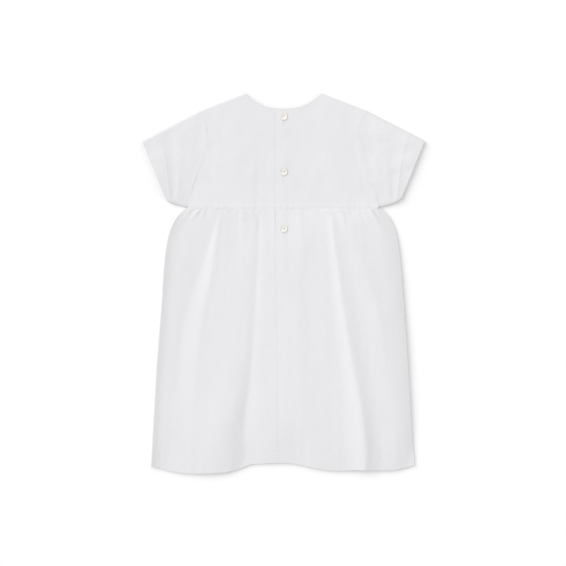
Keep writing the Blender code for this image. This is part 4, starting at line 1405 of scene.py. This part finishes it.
# The hem's outline: x, and how far the hem stands above the lowest point
HEM_OUTLINE = np.array((
    (-177.0, 10.2), (-155.0, 3.6), (-103.0, 0.0), (-71.0, 3.0), (-57.0, 7.2), (-47.0, 11.2), (-26.0, 13.1),
    (9.0, 13.7), (22.0, 11.6), (47.0, 6.2), (68.0, 3.6), (105.0, 4.7), (128.0, 4.0), (152.0, 5.0),
    (177.0, 11.0),
))


@dataclass(frozen=True)
class GatherRow:
    """An uneven row of small troughs that lean out as the skirt widens, drawn between bounds."""

    seed: int = 19
    count: int = 34
    span: float = 0.93
    uneven: float = 2.4
    fan: float = 0.11
    flanks: tuple[float, float] = (3.2, 5.2)
    lifts: tuple[float, float] = (0.35, 0.95)
    reaches: tuple[float, float] = (14.0, 48.0)

    def gathers(self, waist_half: float) -> list[Gather]:
        """The gathers of the row.

        Args:
            waist_half: Half the length of the waist seam.

        Returns:
            The gathers, from left to right.
        """
        draw = np.random.default_rng(self.seed)
        even = np.linspace(-self.span, self.span, self.count) * waist_half
        row = []
        for place in even + draw.uniform(-self.uneven, self.uneven, self.count):
            left, right = draw.uniform(*self.flanks, 2)
            lift, reach = draw.uniform(*self.lifts), draw.uniform(*self.reaches)
            row.append(Gather(place, self.fan * place, lift, left, right, reach))
        return row


@dataclass
class Skirt:
    """The gathered skirt: a front, and a back in two halves joined below the opening."""

    bodice: Bodice
    waist_half: float = 131.0
    swell: float = 27.0
    swell_reach: float = 18.0
    flare: float = 0.054
    seam_at_hem: float = -7.2
    outline_power: int = 4
    setback: float = 3.0
    setback_power: int = 8
    left_more: float = 2.1
    left_more_start: float = 110.0
    left_more_run: float = 120.0
    left_tuck: tuple[float, float] = (1.7, 90.0)
    right_tuck: tuple[float, float] = (3.2, 230.0)
    lift: float = 5.4
    loft: float = 5.5
    loft_reach: float = 60.0
    lowest: float = 3.5
    lowest_blend: float = 0.8
    waist_reach: float = 4.0
    hem_fall: float = 6.4
    hem_fall_reach: float = 100.0
    hem_fall_power: float = 2.1
    left_rim: float = 3.2
    left_rim_reach: float = 17.0
    right_fall: float = 4.2
    right_fall_reach: float = 27.0
    side_start: float = 0.5
    side_growth: float = 20.0
    left_roll: float = 1.5
    right_roll: float = 1.0
    roll_rate: float = 1.8
    roll_steps: int = 9
    fold_start: float = 0.1
    fold_growth: float = 22.0
    gathering: float = 1.2
    hem: float = 20.0
    hem_edge: tuple[Ledge, Line] = (Ledge(0.8, 1.6, 0.10), Line(-1.0, 0.8, -0.14))
    hem_puckers: tuple[Puckers, Puckers] = (Puckers(0.06, 0.55, 1.9, 0.071), Puckers(0.036, 0.93, start=1.1))
    hem_puckered: Line = Line(-1.0, 6.5, 1.0)
    front_stitches: Line = Line(-1.0, 0.8, 0.25)
    pressed_open: float = 0.10
    pressed_width: float = 6.0
    pressed_fade: float = 20.0
    closing: float = 8.0
    closing_start: float = -6.0
    lap_closing: float = 14.0
    radius_closing: float = 6.0
    under_columns: tuple[float, float] = (0.5, 2.2)
    back_row: float = 1.75
    front_row: float = 2.1
    front_column: float = 1.7
    front_gathers: GatherRow = GatherRow()
    drift: Drift = Drift(5, 24.0, 80.0, 1.8)
    drift_start: float = 0.35
    drift_growth: float = 60.0
    back_drift: float = 0.13
    front_drift: float = 0.12
    ripple: Drift = Drift(7, 9.0, 20.0, 2.2)
    back_ripple: float = 0.04
    front_ripple: float = 0.05
    bedded: float = 0.05

    def half_width(self, depth: Array, side: Side = Side.RIGHT) -> Array:
        """Width of the skirt at a depth, from its middle to one side.

        Args:
            depth: Places down from the waist seam.
            side: Which side.

        Returns:
            The widths.
        """
        tuck, reach = self.left_tuck if side is Side.LEFT else self.right_tuck
        swell = (self.swell - tuck * (1.0 - ease(depth / reach))) * (1.0 - np.exp(-depth / self.swell_reach))
        more = self.left_more * ease((depth - self.left_more_start) / self.left_more_run)
        return self.waist_half + swell + self.flare * depth + (more if side is Side.LEFT else 0.0)

    def seam_x(self, depth: Array) -> Array:
        """Where the edge of the opening, and below it the centre back seam, runs."""
        share = np.maximum(depth - OPENING_DEPTH, 0.0) / (SKIRT_LENGTH - OPENING_DEPTH)
        return -LAP + (self.seam_at_hem + LAP) * share

    def plan_down(self, x: Array, depth: Array, layer: Layer) -> Array:
        """Distance down from the neck points: the sections follow the hem's outline.

        Args:
            x: Places across.
            depth: Places down from the waist seam.
            layer: Front or back.

        Returns:
            Places down.
        """
        low = (depth / SKIRT_LENGTH) ** self.outline_power
        down = WAIST + depth - flowing(HEM_OUTLINE[:, 0], HEM_OUTLINE[:, 1], x) * low
        if layer is Layer.FRONT:
            inside = 1.0 - (np.abs(x) / self.half_width(depth)) ** self.setback_power
            down = down - self.setback * low * inside
        return down

    def full_lift(self, depth: Array) -> Array:
        """Height of the back skirt without its folds.

        Args:
            depth: Places down from the waist seam.

        Returns:
            The heights.
        """
        near_hem = np.clip(1.0 - (SKIRT_LENGTH - depth) / self.hem_fall_reach, 0.0, 1.0)
        loft = self.loft * (1.0 - np.exp(-depth / self.loft_reach))
        return self.lift + loft - self.hem_fall * near_hem**self.hem_fall_power

    def side_shape(self, x: Array, depth: Array, side: Side) -> Array:
        """How the cloth runs out to its side edge: up to a soft rim on the left, down on the right.

        Args:
            x: Places across.
            depth: Places down from the waist seam.
            side: Which side.

        Returns:
            What it adds to the height.
        """
        inside = self.half_width(depth, side) - np.abs(x)
        if side is Side.LEFT:
            rise, reach = self.left_rim, self.left_rim_reach
        else:
            rise, reach = -self.right_fall, self.right_fall_reach
        strength = grown(self.side_start, depth / self.side_growth)
        return strength * rise * np.clip(1.0 - inside / reach, 0.0, 1.0) ** 2

    def hem_relief(self, x: Array, depth: Array) -> Array:
        """The turned hem, its stitch line and the puckers along it.

        Args:
            x: Places across.
            depth: Places down from the waist seam.

        Returns:
            What they add to the height.
        """
        above = SKIRT_LENGTH - depth - self.hem
        puckers = sum(row.at(x) for row in self.hem_puckers)
        return relief(self.hem_edge, above) + puckers * self.hem_puckered.at(above)

    def seam_relief(self, x: Array, depth: Array, side: Side) -> Array:
        """Lines of the opening's turned edge and, below it, of the seam allowances pressed open.

        Args:
            x: Places across.
            depth: Places down from the waist seam.
            side: Which half.

        Returns:
            What they add to the height.
        """
        off = x - self.seam_x(depth)
        below = ease((depth - OPENING_DEPTH - self.closing_start) / self.closing)
        total = relief(OPENING_RELIEF[side], off) * (1.0 - below)
        if side is Side.RIGHT:
            pressed = ease(off / self.pressed_width) - ease((off - self.pressed_width) / self.pressed_fade)
            total = total + self.pressed_open * pressed * below
        return total

    def back_height(self, x: Array, depth: Array, side: Side) -> Array:
        """Height of the back skirt's outer face away from its rolled sides.

        Args:
            x: Places across.
            depth: Places down from the waist seam.
            side: Which half.

        Returns:
            The heights.
        """
        total = self.full_lift(depth)
        folded = grown(self.fold_start, depth / self.fold_growth)
        for fold in BACK_FOLDS:
            total = total + folded * fold.height(x, depth)
        for gather in BACK_GATHERS:
            total = total + self.gathering * gather.height(x, depth)
        drifting = self.back_drift * grown(self.drift_start, depth / self.drift_growth)
        total = total + drifting * self.drift.at(x, depth) + self.back_ripple * self.ripple.at(x, depth)
        total = total + self.hem_relief(x, depth) + self.seam_relief(x, depth, side)
        opened = 1.0 - ease((depth - OPENING_DEPTH) / self.lap_closing)
        total = total + opened * lap_level(x - self.seam_x(depth), side)
        total = at_least(total + self.side_shape(x, depth, side), self.lowest, self.lowest_blend)
        waist = self.bodice.back_height(x, np.full_like(x, WAIST), side)
        return waist + (total - waist) * ease(depth / self.waist_reach)

    def front_height(self, x: Array, depth: Array) -> Array:
        """Height of the front skirt's underside: 0 where it rests, more in its troughs.

        Args:
            x: Places across.
            depth: Places down from the waist seam.

        Returns:
            The heights.
        """
        total = self.front_drift * self.drift.at(-x, depth) + self.front_ripple * self.ripple.at(-x, depth)
        total = total - self.bedded
        for fold in FRONT_FOLDS:
            total = total + fold.height(x, depth)
        for gather in self.front_gathers.gathers(self.waist_half):
            total = total + gather.height(x, depth)
        return np.maximum(total + self.front_stitches.at(SKIRT_LENGTH - depth - self.hem), 0.0)

    def roll_reach(self, rise: Array, side: Side) -> Array:
        """How far in from the side a rolled edge starts, for the height that it falls."""
        widest = self.left_roll if side is Side.LEFT else self.right_roll
        return np.minimum(widest, rise * rise / self.roll_rate)

    def depths(self, step: float) -> Array:
        """Depths of the rows, closer at the gathers and at the hem's stitch line.

        Args:
            step: Spacing where the cloth is plain.

        Returns:
            The depths, rising.
        """
        stitched = SKIRT_LENGTH - self.hem
        return ruled(SEAM_GAP + SEAM_RADIUS, (14.0, 0.42 * step), (48.0, 0.7 * step),
                     (stitched - 6.0, 1.25 * step), (stitched + 4.0, 0.4 * step), (SKIRT_LENGTH - 5.0, step),
                     (SKIRT_LENGTH - FOLD_RADIUS, 0.5 * step))

    def side_columns(self, depth: Array, side: Side, layer: Layer) -> tuple[Array, Array]:
        """The rolled side, from its flat start to the side seam.

        Args:
            depth: Depth of each row, as a column of numbers.
            side: Which side.
            layer: Front or back.

        Returns:
            x and z of the points, a column for each step of the roll.
        """
        turn = np.radians(np.linspace(0.0, 90.0, self.roll_steps + 1)[1:])[None, :]
        rise = self.full_lift(depth) - SEAM_LIFT if layer is Layer.BACK else np.full_like(depth, SEAM_LIFT)
        reach = self.roll_reach(rise, side)
        start = self.half_width(depth, side) - reach
        x = side.value * (start + reach * np.sin(turn))
        flat = side.value * np.broadcast_to(start, x.shape)
        if layer is Layer.BACK:
            height = self.back_height(flat, depth, side)
        else:
            height = self.front_height(flat, depth)
        return x, SEAM_LIFT + (height - SEAM_LIFT) * np.cos(turn)

    def back_half(self, side: Side) -> Panel:
        """One half of the back skirt.

        Args:
            side: Right for the upper half, left for the half that runs on under it along the opening.

        Returns:
            The laid panel. The left one has no cells beyond the seam below the opening.
        """
        depths = self.depths(self.back_row)
        depth = depths[:, None]
        rise = self.full_lift(depth) - SEAM_LIFT
        flat = self.half_width(depth, side) - self.roll_reach(rise, side)
        span = self.half_width(SKIRT_LENGTH) - self.right_roll
        fine = ruled(0.0, (1.2, 0.3), (22.0, 0.85), (span, 1.12)) / span
        open_share = 1.0 - ease((depth - OPENING_DEPTH) / self.radius_closing)
        radius = SEAM_RADIUS + (LAP_RADIUS - SEAM_RADIUS) * open_share
        edge = self.seam_x(depth) + (radius if side is Side.RIGHT else -SEAM_GAP)
        x = edge + fine[None, :] * (side.value * flat - edge)
        under = 0
        if side is Side.LEFT:
            close, wide = self.under_columns
            lap = ruled(0.0, (2.0, close), (2.0 * LAP, wide))[:0:-1]
            x, under = np.concatenate((edge + lap[None, :], x), axis=1), len(lap)
        z = self.back_height(x, depth, side)
        rolled_x, rolled_z = self.side_columns(depth, side, Layer.BACK)
        x, z = np.concatenate((x, rolled_x), axis=1), np.concatenate((z, rolled_z), axis=1)
        points = frame_points(x, self.plan_down(x, depth, Layer.BACK), z)
        across = travelled(points[-1]) * side.value
        cloth = np.stack(np.broadcast_arrays(across[None, :], -depth), axis=-1)
        panel = Panel.laid(points, cloth, Layer.BACK)
        panel = panel.turned(1, False, radius=radius if side is Side.RIGHT else SEAM_RADIUS)
        panel = panel.turned(1, True).turned(0, False).turned(0, True, back=self.hem)
        if side is Side.RIGHT:
            return panel
        last_row = EDGE_ADDED + int(np.searchsorted(depths, OPENING_DEPTH))
        return replace(panel, notch=(last_row, EDGE_ADDED + under))

    def front(self) -> Panel:
        """The front skirt, which the whole skirt rests on.

        Returns:
            The laid panel.
        """
        depth = self.depths(self.front_row)[:, None]
        rise = np.full_like(depth, SEAM_LIFT)
        left, right = (self.half_width(depth, side) - self.roll_reach(rise, side) for side in Side)
        columns = round(2.0 * self.half_width(SKIRT_LENGTH) / self.front_column)
        shares = np.linspace(0.0, 1.0, columns)[None, :]
        x = (left + right) * shares - left
        z = self.front_height(x, depth)
        left_x, left_z = self.side_columns(depth, Side.LEFT, Layer.FRONT)
        right_x, right_z = self.side_columns(depth, Side.RIGHT, Layer.FRONT)
        x = np.concatenate((left_x[:, ::-1], x, right_x), axis=1)
        z = np.concatenate((left_z[:, ::-1], z, right_z), axis=1)
        points = frame_points(x, self.plan_down(x, depth, Layer.FRONT), z)
        cloth = np.stack(np.broadcast_arrays(travelled(points[-1])[None, :], -depth), axis=-1)
        panel = Panel.laid(points, cloth, Layer.FRONT)
        panel = panel.turned(1, False).turned(1, True).turned(0, False).turned(0, True, back=self.hem)
        return replace(panel, points=np.maximum(panel.points, (-np.inf, -np.inf, 0.0)))


# Sewing


@dataclass
class Sewing:
    """The visible stitching: hems, the neck edge, the end of the opening and the buttonholes."""

    length: float = 2.2
    pitch: float = 2.9
    width: float = 0.42
    height: float = 0.20
    lift: float = 0.02
    bead: tuple[float, float, float] = (1.1, 0.42, 0.08)
    bead_step: float = 0.5
    bead_half: float = 0.62
    bead_fan: float = 60.0
    fan_beads: int = 5

    def stitch(self, build: bmesh.types.BMesh, middle: Array, run: Array, normal: Array,
               size: Sequence[float]) -> None:
        """Adds one stitch.

        Args:
            build: Mesh that it is added to.
            middle: Its middle, in millimetres.
            run: The direction that it runs in.
            normal: The direction that the cloth faces.
            size: Its length, width and height.
        """
        run, normal = Vector(run).normalized(), Vector(normal).normalized()
        across = normal.cross(run).normalized()
        turn = Matrix((run, across, run.cross(across))).transposed().to_4x4()
        scale = Matrix.Diagonal((*[0.5 * MM * part for part in size], 1.0))
        bmesh.ops.create_uvsphere(build, u_segments=6, v_segments=4, radius=1.0,
                                  matrix=Matrix.Translation(Vector(middle) * MM) @ turn @ scale)

    def run_line(self, build: bmesh.types.BMesh, path: Array, normals: Array) -> None:
        """Adds a row of stitches along a line of a panel.

        Args:
            build: Mesh that they are added to.
            path: Points of the line.
            normals: The way that the cloth faces at each point.
        """
        middles = np.arange(0.5 * self.pitch, path_length(path), self.pitch)
        points, facing = along(path, middles), read_along(path, normals, middles)
        behind, ahead = (along(path, middles + sign * 0.5 * self.length) for sign in (-1.0, 1.0))
        for point, normal, start, end in zip(points, facing, behind, ahead):
            middle = point + normal * self.lift
            middle[2] = max(middle[2], 0.5 * self.height + 0.5 * abs(end[2] - start[2]))
            self.stitch(build, middle, end - start, normal, (self.length, self.width, self.height))

    def buttonhole(self, build: bmesh.types.BMesh, top: float, low: float, x: float,
                   surface: Callable[[float, float], Array]) -> None:
        """Adds the beading round a buttonhole that runs down the dress.

        Args:
            build: Mesh that it is added to.
            top: Where it starts, down from the neck points.
            low: Where it ends.
            x: Where it runs.
            surface: Gives the cloth's point at x and down.
        """
        half, up = self.bead_half, np.array((0.0, 0.0, 1.0))
        downs = np.arange(top, low, self.bead_step)
        spots = [(x + sign * half, down, 0.0) for sign in (-1.0, 1.0) for down in downs]
        for end, sign in ((top, -1.0), (low, 1.0)):
            for angle in np.radians(np.linspace(-self.bead_fan, self.bead_fan, self.fan_beads)):
                spots.append((x + half * math.sin(angle), end + sign * 0.5 * half * math.cos(angle), angle))
        for spot_x, down, angle in spots:
            here, beside = surface(spot_x, down), surface(spot_x + self.bead_step, down)
            run = beside - here if angle == 0.0 else np.array((math.sin(angle), math.cos(angle), 0.0))
            self.stitch(build, here + self.lift * up, run, up, self.bead)

    def dress(self, name: str, build: bmesh.types.BMesh, finish: bpy.types.Material) -> None:
        """Makes one piece of the stitches gathered in a mesh.

        Args:
            name: Name of the piece.
            build: The mesh.
            finish: Its thread.
        """
        piece = add_mesh(name, build, finish)
        log.info("%s: %d faces", name, len(piece.data.polygons))


# Buttons


@dataclass(frozen=True)
class Button:
    """A turned pearl button with a rounded rim, a dished middle and two thread holes."""

    name: str
    down: float
    turn: float
    radius: float = 5.4
    thick: float = 1.3
    dish: float = 0.55
    hole: float = 0.6
    chamfer: float = 0.16
    spacing: float = 3.5
    lift: float = 0.05
    foot: tuple[tuple[float, float], ...] = ((1.1, 0.0), (0.6, 0.06), (0.15, 0.35))
    rim_bend: tuple[float, float] = (0.4, 0.5)
    rim_turns: tuple[int, ...] = (0, 25, 50, 70, 90)
    dishing: tuple[tuple[float, float], ...] = (
        (0.62, 0.08), (0.85, 0.36), (1.1, 0.70), (1.45, 0.92), (2.0, 1.0))
    sides: int = 48
    hole_sides: int = 16
    weld: float = 0.005
    strand_off: float = 0.28
    strand_lift: float = 0.06
    strand: tuple[float, float, float] = (4.5, 0.5, 0.42)
    drop_off: float = 0.12
    drop: tuple[float, float] = (0.6, 0.56)

    def profile(self) -> list[tuple[float, float]]:
        """Radius and height of the turned outline.

        Returns:
            Points from the flat underside over the narrow rim to the dish.
        """
        wide, high = self.rim_bend
        foot = [(self.radius - inward, up) for inward, up in self.foot]
        rim = [(self.radius - wide * (1.0 - math.cos(turn)), self.thick - high * (1.0 - math.sin(turn)))
               for turn in np.radians(self.rim_turns)]
        dish = [(self.radius - inward, self.thick - self.dish * drop) for inward, drop in self.dishing]
        return foot + rim + dish

    def matrix(self, seat: Callable[[float, float], Array]) -> Matrix:
        """Place and tilt of the button on the cloth.

        Args:
            seat: Gives the cloth's point at x and down.

        Returns:
            A transform from the button's own axes.
        """
        above, below = seat(0.0, self.down - self.radius), seat(0.0, self.down + self.radius)
        middle = seat(0.0, self.down)
        tilt = math.atan2(above[2] - below[2], above[1] - below[1])
        lift = Matrix.Translation(Vector(middle) * MM + Vector((0.0, 0.0, self.lift * MM)))
        return lift @ Matrix.Rotation(tilt, 4, "X") @ Matrix.Rotation(math.radians(self.turn), 4, "Z")

    def disc(self, build: bmesh.types.BMesh, rim: list[bmesh.types.BMEdge], height: float,
             radius: float) -> list[list[bmesh.types.BMEdge]]:
        """Fills a rim but for two round holes.

        Args:
            build: The button's mesh.
            rim: The rim's edges.
            height: How high the disc lies.
            radius: Radius of the holes.

        Returns:
            The edges of each hole.
        """
        holes = []
        for sign in (-1.0, 1.0):
            move = Matrix.Translation((sign * self.spacing * 0.5 * MM, 0.0, height * MM))
            ring = bmesh.ops.create_circle(build, segments=self.hole_sides, radius=radius * MM,
                                           matrix=move)["verts"]
            holes.append(list({edge for vertex in ring for edge in vertex.link_edges}))
        bmesh.ops.triangle_fill(build, use_beauty=True, edges=rim + holes[0] + holes[1])
        return holes

    def build(self) -> bmesh.types.BMesh:
        """The button's mesh, at the origin, face up.

        Returns:
            A closed mesh round z.
        """
        build = bmesh.new()
        corners = [build.verts.new((radius * MM, 0.0, height * MM)) for radius, height in self.profile()]
        edges = [build.edges.new(pair) for pair in zip(corners, corners[1:])]
        bmesh.ops.spin(build, geom=corners + edges, cent=(0.0, 0.0, 0.0), axis=(0.0, 0.0, 1.0),
                       angle=2.0 * math.pi, steps=self.sides, use_merge=True)
        bmesh.ops.remove_doubles(build, verts=build.verts, dist=self.weld * MM)
        open_edges = [edge for edge in build.edges if edge.is_boundary]
        middle = 0.5 * (self.thick - self.dish) * MM
        upper = [edge for edge in open_edges if edge.verts[0].co.z > middle]
        lower = [edge for edge in open_edges if edge.verts[0].co.z <= middle]
        top_holes = self.disc(build, upper, self.thick - self.dish, self.hole + self.chamfer)
        low_holes = self.disc(build, lower, 0.0, self.hole)
        for top, low in zip(top_holes, low_holes):
            made = bmesh.ops.extrude_edge_only(build, edges=top)["geom"]
            ring = [part for part in made if isinstance(part, bmesh.types.BMVert)]
            inner = [part for part in made if isinstance(part, bmesh.types.BMEdge) and part.is_boundary]
            centre = Vector((sum(vertex.co.x for vertex in ring) / len(ring), 0.0, 0.0))
            for vertex in ring:
                flat = Vector((vertex.co.x, vertex.co.y, 0.0)) - centre
                narrowed = flat * (self.hole / (self.hole + self.chamfer))
                vertex.co = centre + narrowed + Vector((0.0, 0.0, vertex.co.z - self.chamfer * MM))
            bmesh.ops.bridge_loops(build, edges=inner + low)
        bmesh.ops.recalc_face_normals(build, faces=build.faces)
        return build

    def thread(self, sewing: Sewing, seat: Callable[[float, float], Array], build: bmesh.types.BMesh) -> None:
        """Adds the two strands of thread between the holes and down through them.

        Args:
            sewing: Makes the stitches.
            seat: Gives the cloth's point at x and down.
            build: Mesh that they are added to.
        """
        place = self.matrix(seat)
        axis, up = (np.array(place.to_3x3() @ Vector(way)) for way in ((1.0, 0.0, 0.0), (0.0, 0.0, 1.0)))
        top = self.thick - self.dish + self.strand_lift
        hole = self.spacing * 0.5 + self.drop_off
        for off in (-self.strand_off, self.strand_off):
            middle = place @ Vector((0.0, off * MM, top * MM))
            sewing.stitch(build, np.array(middle) / MM, axis, up, self.strand)
            for sign in (-1.0, 1.0):
                spot = place @ Vector((sign * hole * MM, off * MM, 0.5 * top * MM))
                sewing.stitch(build, np.array(spot) / MM, up, axis, (top, *self.drop))

    def dress(self, seat: Callable[[float, float], Array], finish: bpy.types.Material) -> None:
        """Puts the button on the cloth in place of its solid.

        Args:
            seat: Gives the cloth's point at x and down.
            finish: Its pearl.
        """
        build = self.build()
        build.transform(self.matrix(seat))
        piece = add_mesh(f"pearl_{self.name}", build, finish)
        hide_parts(self.name)
        log.info("%s: %d faces", piece.name, len(piece.data.polygons))


# The whole dress


# How each panel is cut and how it lies, by the name of its solid
CUTS = {
    "front_bodice": Cut(0.275, 0.168, 0.0375, "laid", ("linen_front_skirt",)),
    "back_bodice_left": Cut(0.168, 0.172, 0.0235, "laid", ("linen_front_bodice",)),
    "back_bodice_right": Cut(0.172, 0.172, 0.0250, "laid", ("linen_front_bodice",)),
    "front_skirt": Cut(0.375, 0.390, 0.1460, "gathered", ("floor",)),
    "back_skirt_left": Cut(0.205, 0.390, 0.0745, "gathered", ("linen_front_skirt",)),
    "back_skirt_right": Cut(0.212, 0.390, 0.0825, "gathered", ("linen_front_skirt",)),
    "sleeve_left": Cut(0.245, 0.115, 0.0225, "laid", ("linen_front_bodice",)),
    "sleeve_right": Cut(0.245, 0.115, 0.0225, "laid", ("linen_front_bodice",)),
}

# The column at which the hem's stitches start on each skirt panel
HEM_STARTS = {"back_skirt_left": 20, "back_skirt_right": 30, "front_skirt": EDGE_ADDED}


@dataclass
class Dress:
    """The dress: its panels, then its sewing and its buttons."""

    bodice: Bodice
    sleeve: Sleeve
    skirt: Skirt
    sewing: Sewing = field(default_factory=Sewing)
    buttons: tuple[Button, ...] = (
        Button("button_upper", 31.0, 35.0),
        Button("button_middle", 105.7, 0.0),
        Button("button_lower", 182.9, 4.0),
    )
    panels: dict[str, Panel] = field(default_factory=dict)
    hem_line: float = 1.0
    neck_margin: float = 4.0
    neck_steps: int = 160
    hole_above: float = 1.0
    hole_below: float = 13.6
    bar_above: float = 18.0
    bar_below: float = 1.0
    bar_rows: tuple[float, float] = (2.0, 5.0)
    bar_across: tuple[float, float] = (1.6, 5.4)

    def seat(self, x: float, down: float) -> Array:
        """Point of the upper cloth on the right half.

        Args:
            x: Place across, in millimetres.
            down: Place down.

        Returns:
            The point in the frame's axes, still in millimetres.
        """
        spot_x, spot_down = np.array(x), np.array(down)
        if down < WAIST:
            z = self.bodice.back_height(spot_x, spot_down, Side.RIGHT)
        else:
            z = self.skirt.back_height(spot_x, spot_down - WAIST, Side.RIGHT)
        return np.array((x, LENGTH / 2.0 - down, float(z)))

    def build(self) -> None:
        """Lays out every panel."""
        self.panels["front_bodice"] = self.bodice.front()
        self.panels["front_skirt"] = self.skirt.front()
        for side in Side:
            self.panels[f"back_bodice_{side.word}"] = self.bodice.back_half(side)
            self.panels[f"sleeve_{side.word}"] = self.sleeve.tube(side)
            self.panels[f"back_skirt_{side.word}"] = self.skirt.back_half(side)

    def nearest_row(self, node: str, flat_place: float) -> int:
        """Row of a panel that lies nearest to a place down its flat cut, on its right side."""
        cloth = self.panels[node].cloth
        return int(np.argmin(np.abs(cloth[:, cloth.shape[1] // 2, 1] - flat_place)))

    def sew_hem(self, node: str, flat_place: float, start: int, thread: bpy.types.Material) -> None:
        """Adds the row of stitches that holds a panel's hem.

        Args:
            node: Name of the panel's solid.
            flat_place: Where the row lies, down the panel's flat cut.
            start: The column that it starts at.
            thread: Its thread.
        """
        path, normals = self.panels[node].row(self.nearest_row(node, flat_place))
        build = bmesh.new()
        self.sewing.run_line(build, path[start:-EDGE_ADDED], normals[start:-EDGE_ADDED])
        self.sewing.dress(f"hem_stitches_{node}", build, thread)

    def sew(self, thread: bpy.types.Material) -> None:
        """Adds the rows of stitches and the buttonholes.

        Args:
            thread: Their thread.
        """
        for node, start in HEM_STARTS.items():
            self.sew_hem(node, self.skirt.hem - self.hem_line - SKIRT_LENGTH, start, thread)
        for side in Side:
            flat_place = self.sleeve.hem - self.hem_line - self.sleeve.run()
            self.sew_hem(f"sleeve_{side.word}", flat_place, EDGE_ADDED, thread)
        self.sew_neck(thread)
        self.sew_opening(thread)
        for button in self.buttons:
            build = bmesh.new()
            button.thread(self.sewing, self.seat, build)
            top, low = button.down - self.hole_above, button.down + self.hole_below
            self.sewing.buttonhole(build, top, low, 0.0, self.seat)
            self.sewing.dress(button.name.replace("button", "buttonhole"), build, thread)

    def sew_neck(self, thread: bpy.types.Material) -> None:
        """Adds the stitches that hold the turned neck edge.

        Args:
            thread: Their thread.
        """
        bodice = self.bodice
        reach = bodice.neck_half - self.neck_margin
        x = np.linspace(-reach, reach, self.neck_steps)
        for layer, depth, facing in (("back", bodice.back_neck, 1.0), ("front", bodice.front_neck, -1.0)):
            down = bodice.neck_down(x, depth) + bodice.neck_stitches.place
            if layer == "back":
                left, right = (bodice.back_height(x, down, side) for side in Side)
                z = np.where(x < -LAP, left, right)
            else:
                z = bodice.front_height(x, down)
            build = bmesh.new()
            self.sewing.run_line(build, frame_points(x, down, z), np.tile((0.0, 0.0, facing), (len(x), 1)))
            self.sewing.dress(f"neck_stitches_{layer}", build, thread)

    def sew_opening(self, thread: bpy.types.Material) -> None:
        """Adds the two short rows that fasten the lower end of the opening, and the one across it.

        Args:
            thread: Their thread.
        """
        end = WAIST + OPENING_DEPTH + self.bar_below
        start = WAIST + OPENING_DEPTH - self.bar_above
        rows = [[(off, down) for down in np.linspace(start, end, 24)] for off in self.bar_rows]
        rows.append([(off, end) for off in np.linspace(*self.bar_across, 6)])
        build = bmesh.new()
        for row in rows:
            path = np.array([self.seat(-LAP + off, down) for off, down in row])
            self.sewing.run_line(build, path, np.tile((0.0, 0.0, 1.0), (len(path), 1)))
        self.sewing.dress("opening_stitches", build, thread)

    def dress(self) -> None:
        """Makes every piece, with its finish."""
        linen = Linen("washed_linen").build()
        thread = Thread("sewing_thread").build()
        self.build()
        for node, cut in CUTS.items():
            sew_panel(node, self.panels[node], cut, linen)
        self.sew(thread)
        pearl = Pearl("ivory_pearl").build()
        for button in self.buttons:
            button.dress(self.seat, pearl)


@dataclass(frozen=True)
class Studio:
    """Paper-white surface, soft daylight from the upper left, and a camera straight above."""

    reach: float = 6.0
    floor_drop: float = 0.05
    width: float = 0.764
    focus: float = 8.0
    lens: float = 100.0
    sensor: float = 36.0
    middle: tuple[float, float] = (-0.0004, 0.0007)
    sun_tilt: float = 50.0
    sun_from: tuple[float, float] = (-0.83, 0.55)
    sun_strength: float = 1.613
    sun_spread: float = 50.0
    sky: float = 0.71

    def build(self) -> None:
        """Makes the surface, the light and the camera."""
        build = bmesh.new()
        bmesh.ops.create_grid(build, x_segments=1, y_segments=1, size=self.reach)
        bmesh.ops.translate(build, verts=build.verts, vec=(0.0, 0.0, -self.floor_drop * MM))
        mesh = bpy.data.meshes.new("floor")
        build.to_mesh(mesh)
        build.free()
        mesh.materials.append(Tabletop("white_paper").build())
        floor = bpy.data.objects.new("floor", mesh)
        bpy.context.collection.objects.link(floor)
        floor.visible_diffuse = False
        self.light()
        self.camera()
        log.info("studio: floor, sun, sky and camera")

    def light(self) -> None:
        """Soft sun and an even sky."""
        sun = bpy.data.lights.new("window", "SUN")
        sun.energy = self.sun_strength
        sun.angle = math.radians(self.sun_spread)
        lamp = bpy.data.objects.new("window", sun)
        tilt = math.radians(self.sun_tilt)
        away = Vector((self.sun_from[0], self.sun_from[1], 0.0)).normalized() * math.sin(tilt)
        lamp.rotation_euler = (away + Vector((0.0, 0.0, math.cos(tilt)))).to_track_quat("Z", "Y").to_euler()
        bpy.context.collection.objects.link(lamp)
        world = bpy.data.worlds.new("sky")
        world.use_nodes = True
        world.node_tree.nodes["Background"].inputs["Color"].default_value = (1.0, 1.0, 1.0, 1.0)
        world.node_tree.nodes["Background"].inputs["Strength"].default_value = self.sky
        bpy.context.scene.world = world
        bpy.context.scene.view_settings.view_transform = "Standard"

    def camera(self) -> None:
        """Camera that looks straight down."""
        view = bpy.data.cameras.new("camera")
        view.lens, view.sensor_width = self.lens, self.sensor
        view.clip_start, view.clip_end = 0.05, 50.0
        eye = bpy.data.objects.new("camera", view)
        eye.location = (*self.middle, self.width * self.lens / self.sensor + self.focus * MM)
        bpy.context.collection.objects.link(eye)
        bpy.context.scene.camera = eye


def main() -> None:
    """Builds the dress and its studio."""
    logging.basicConfig(level=logging.INFO, format="%(name)s: %(message)s")
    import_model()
    armhole = Armhole()
    bodice = Bodice(armhole)
    dress = Dress(bodice, Sleeve(armhole), Skirt(bodice))
    dress.dress()
    Studio().build()


if __name__ == "__main__":
    main()
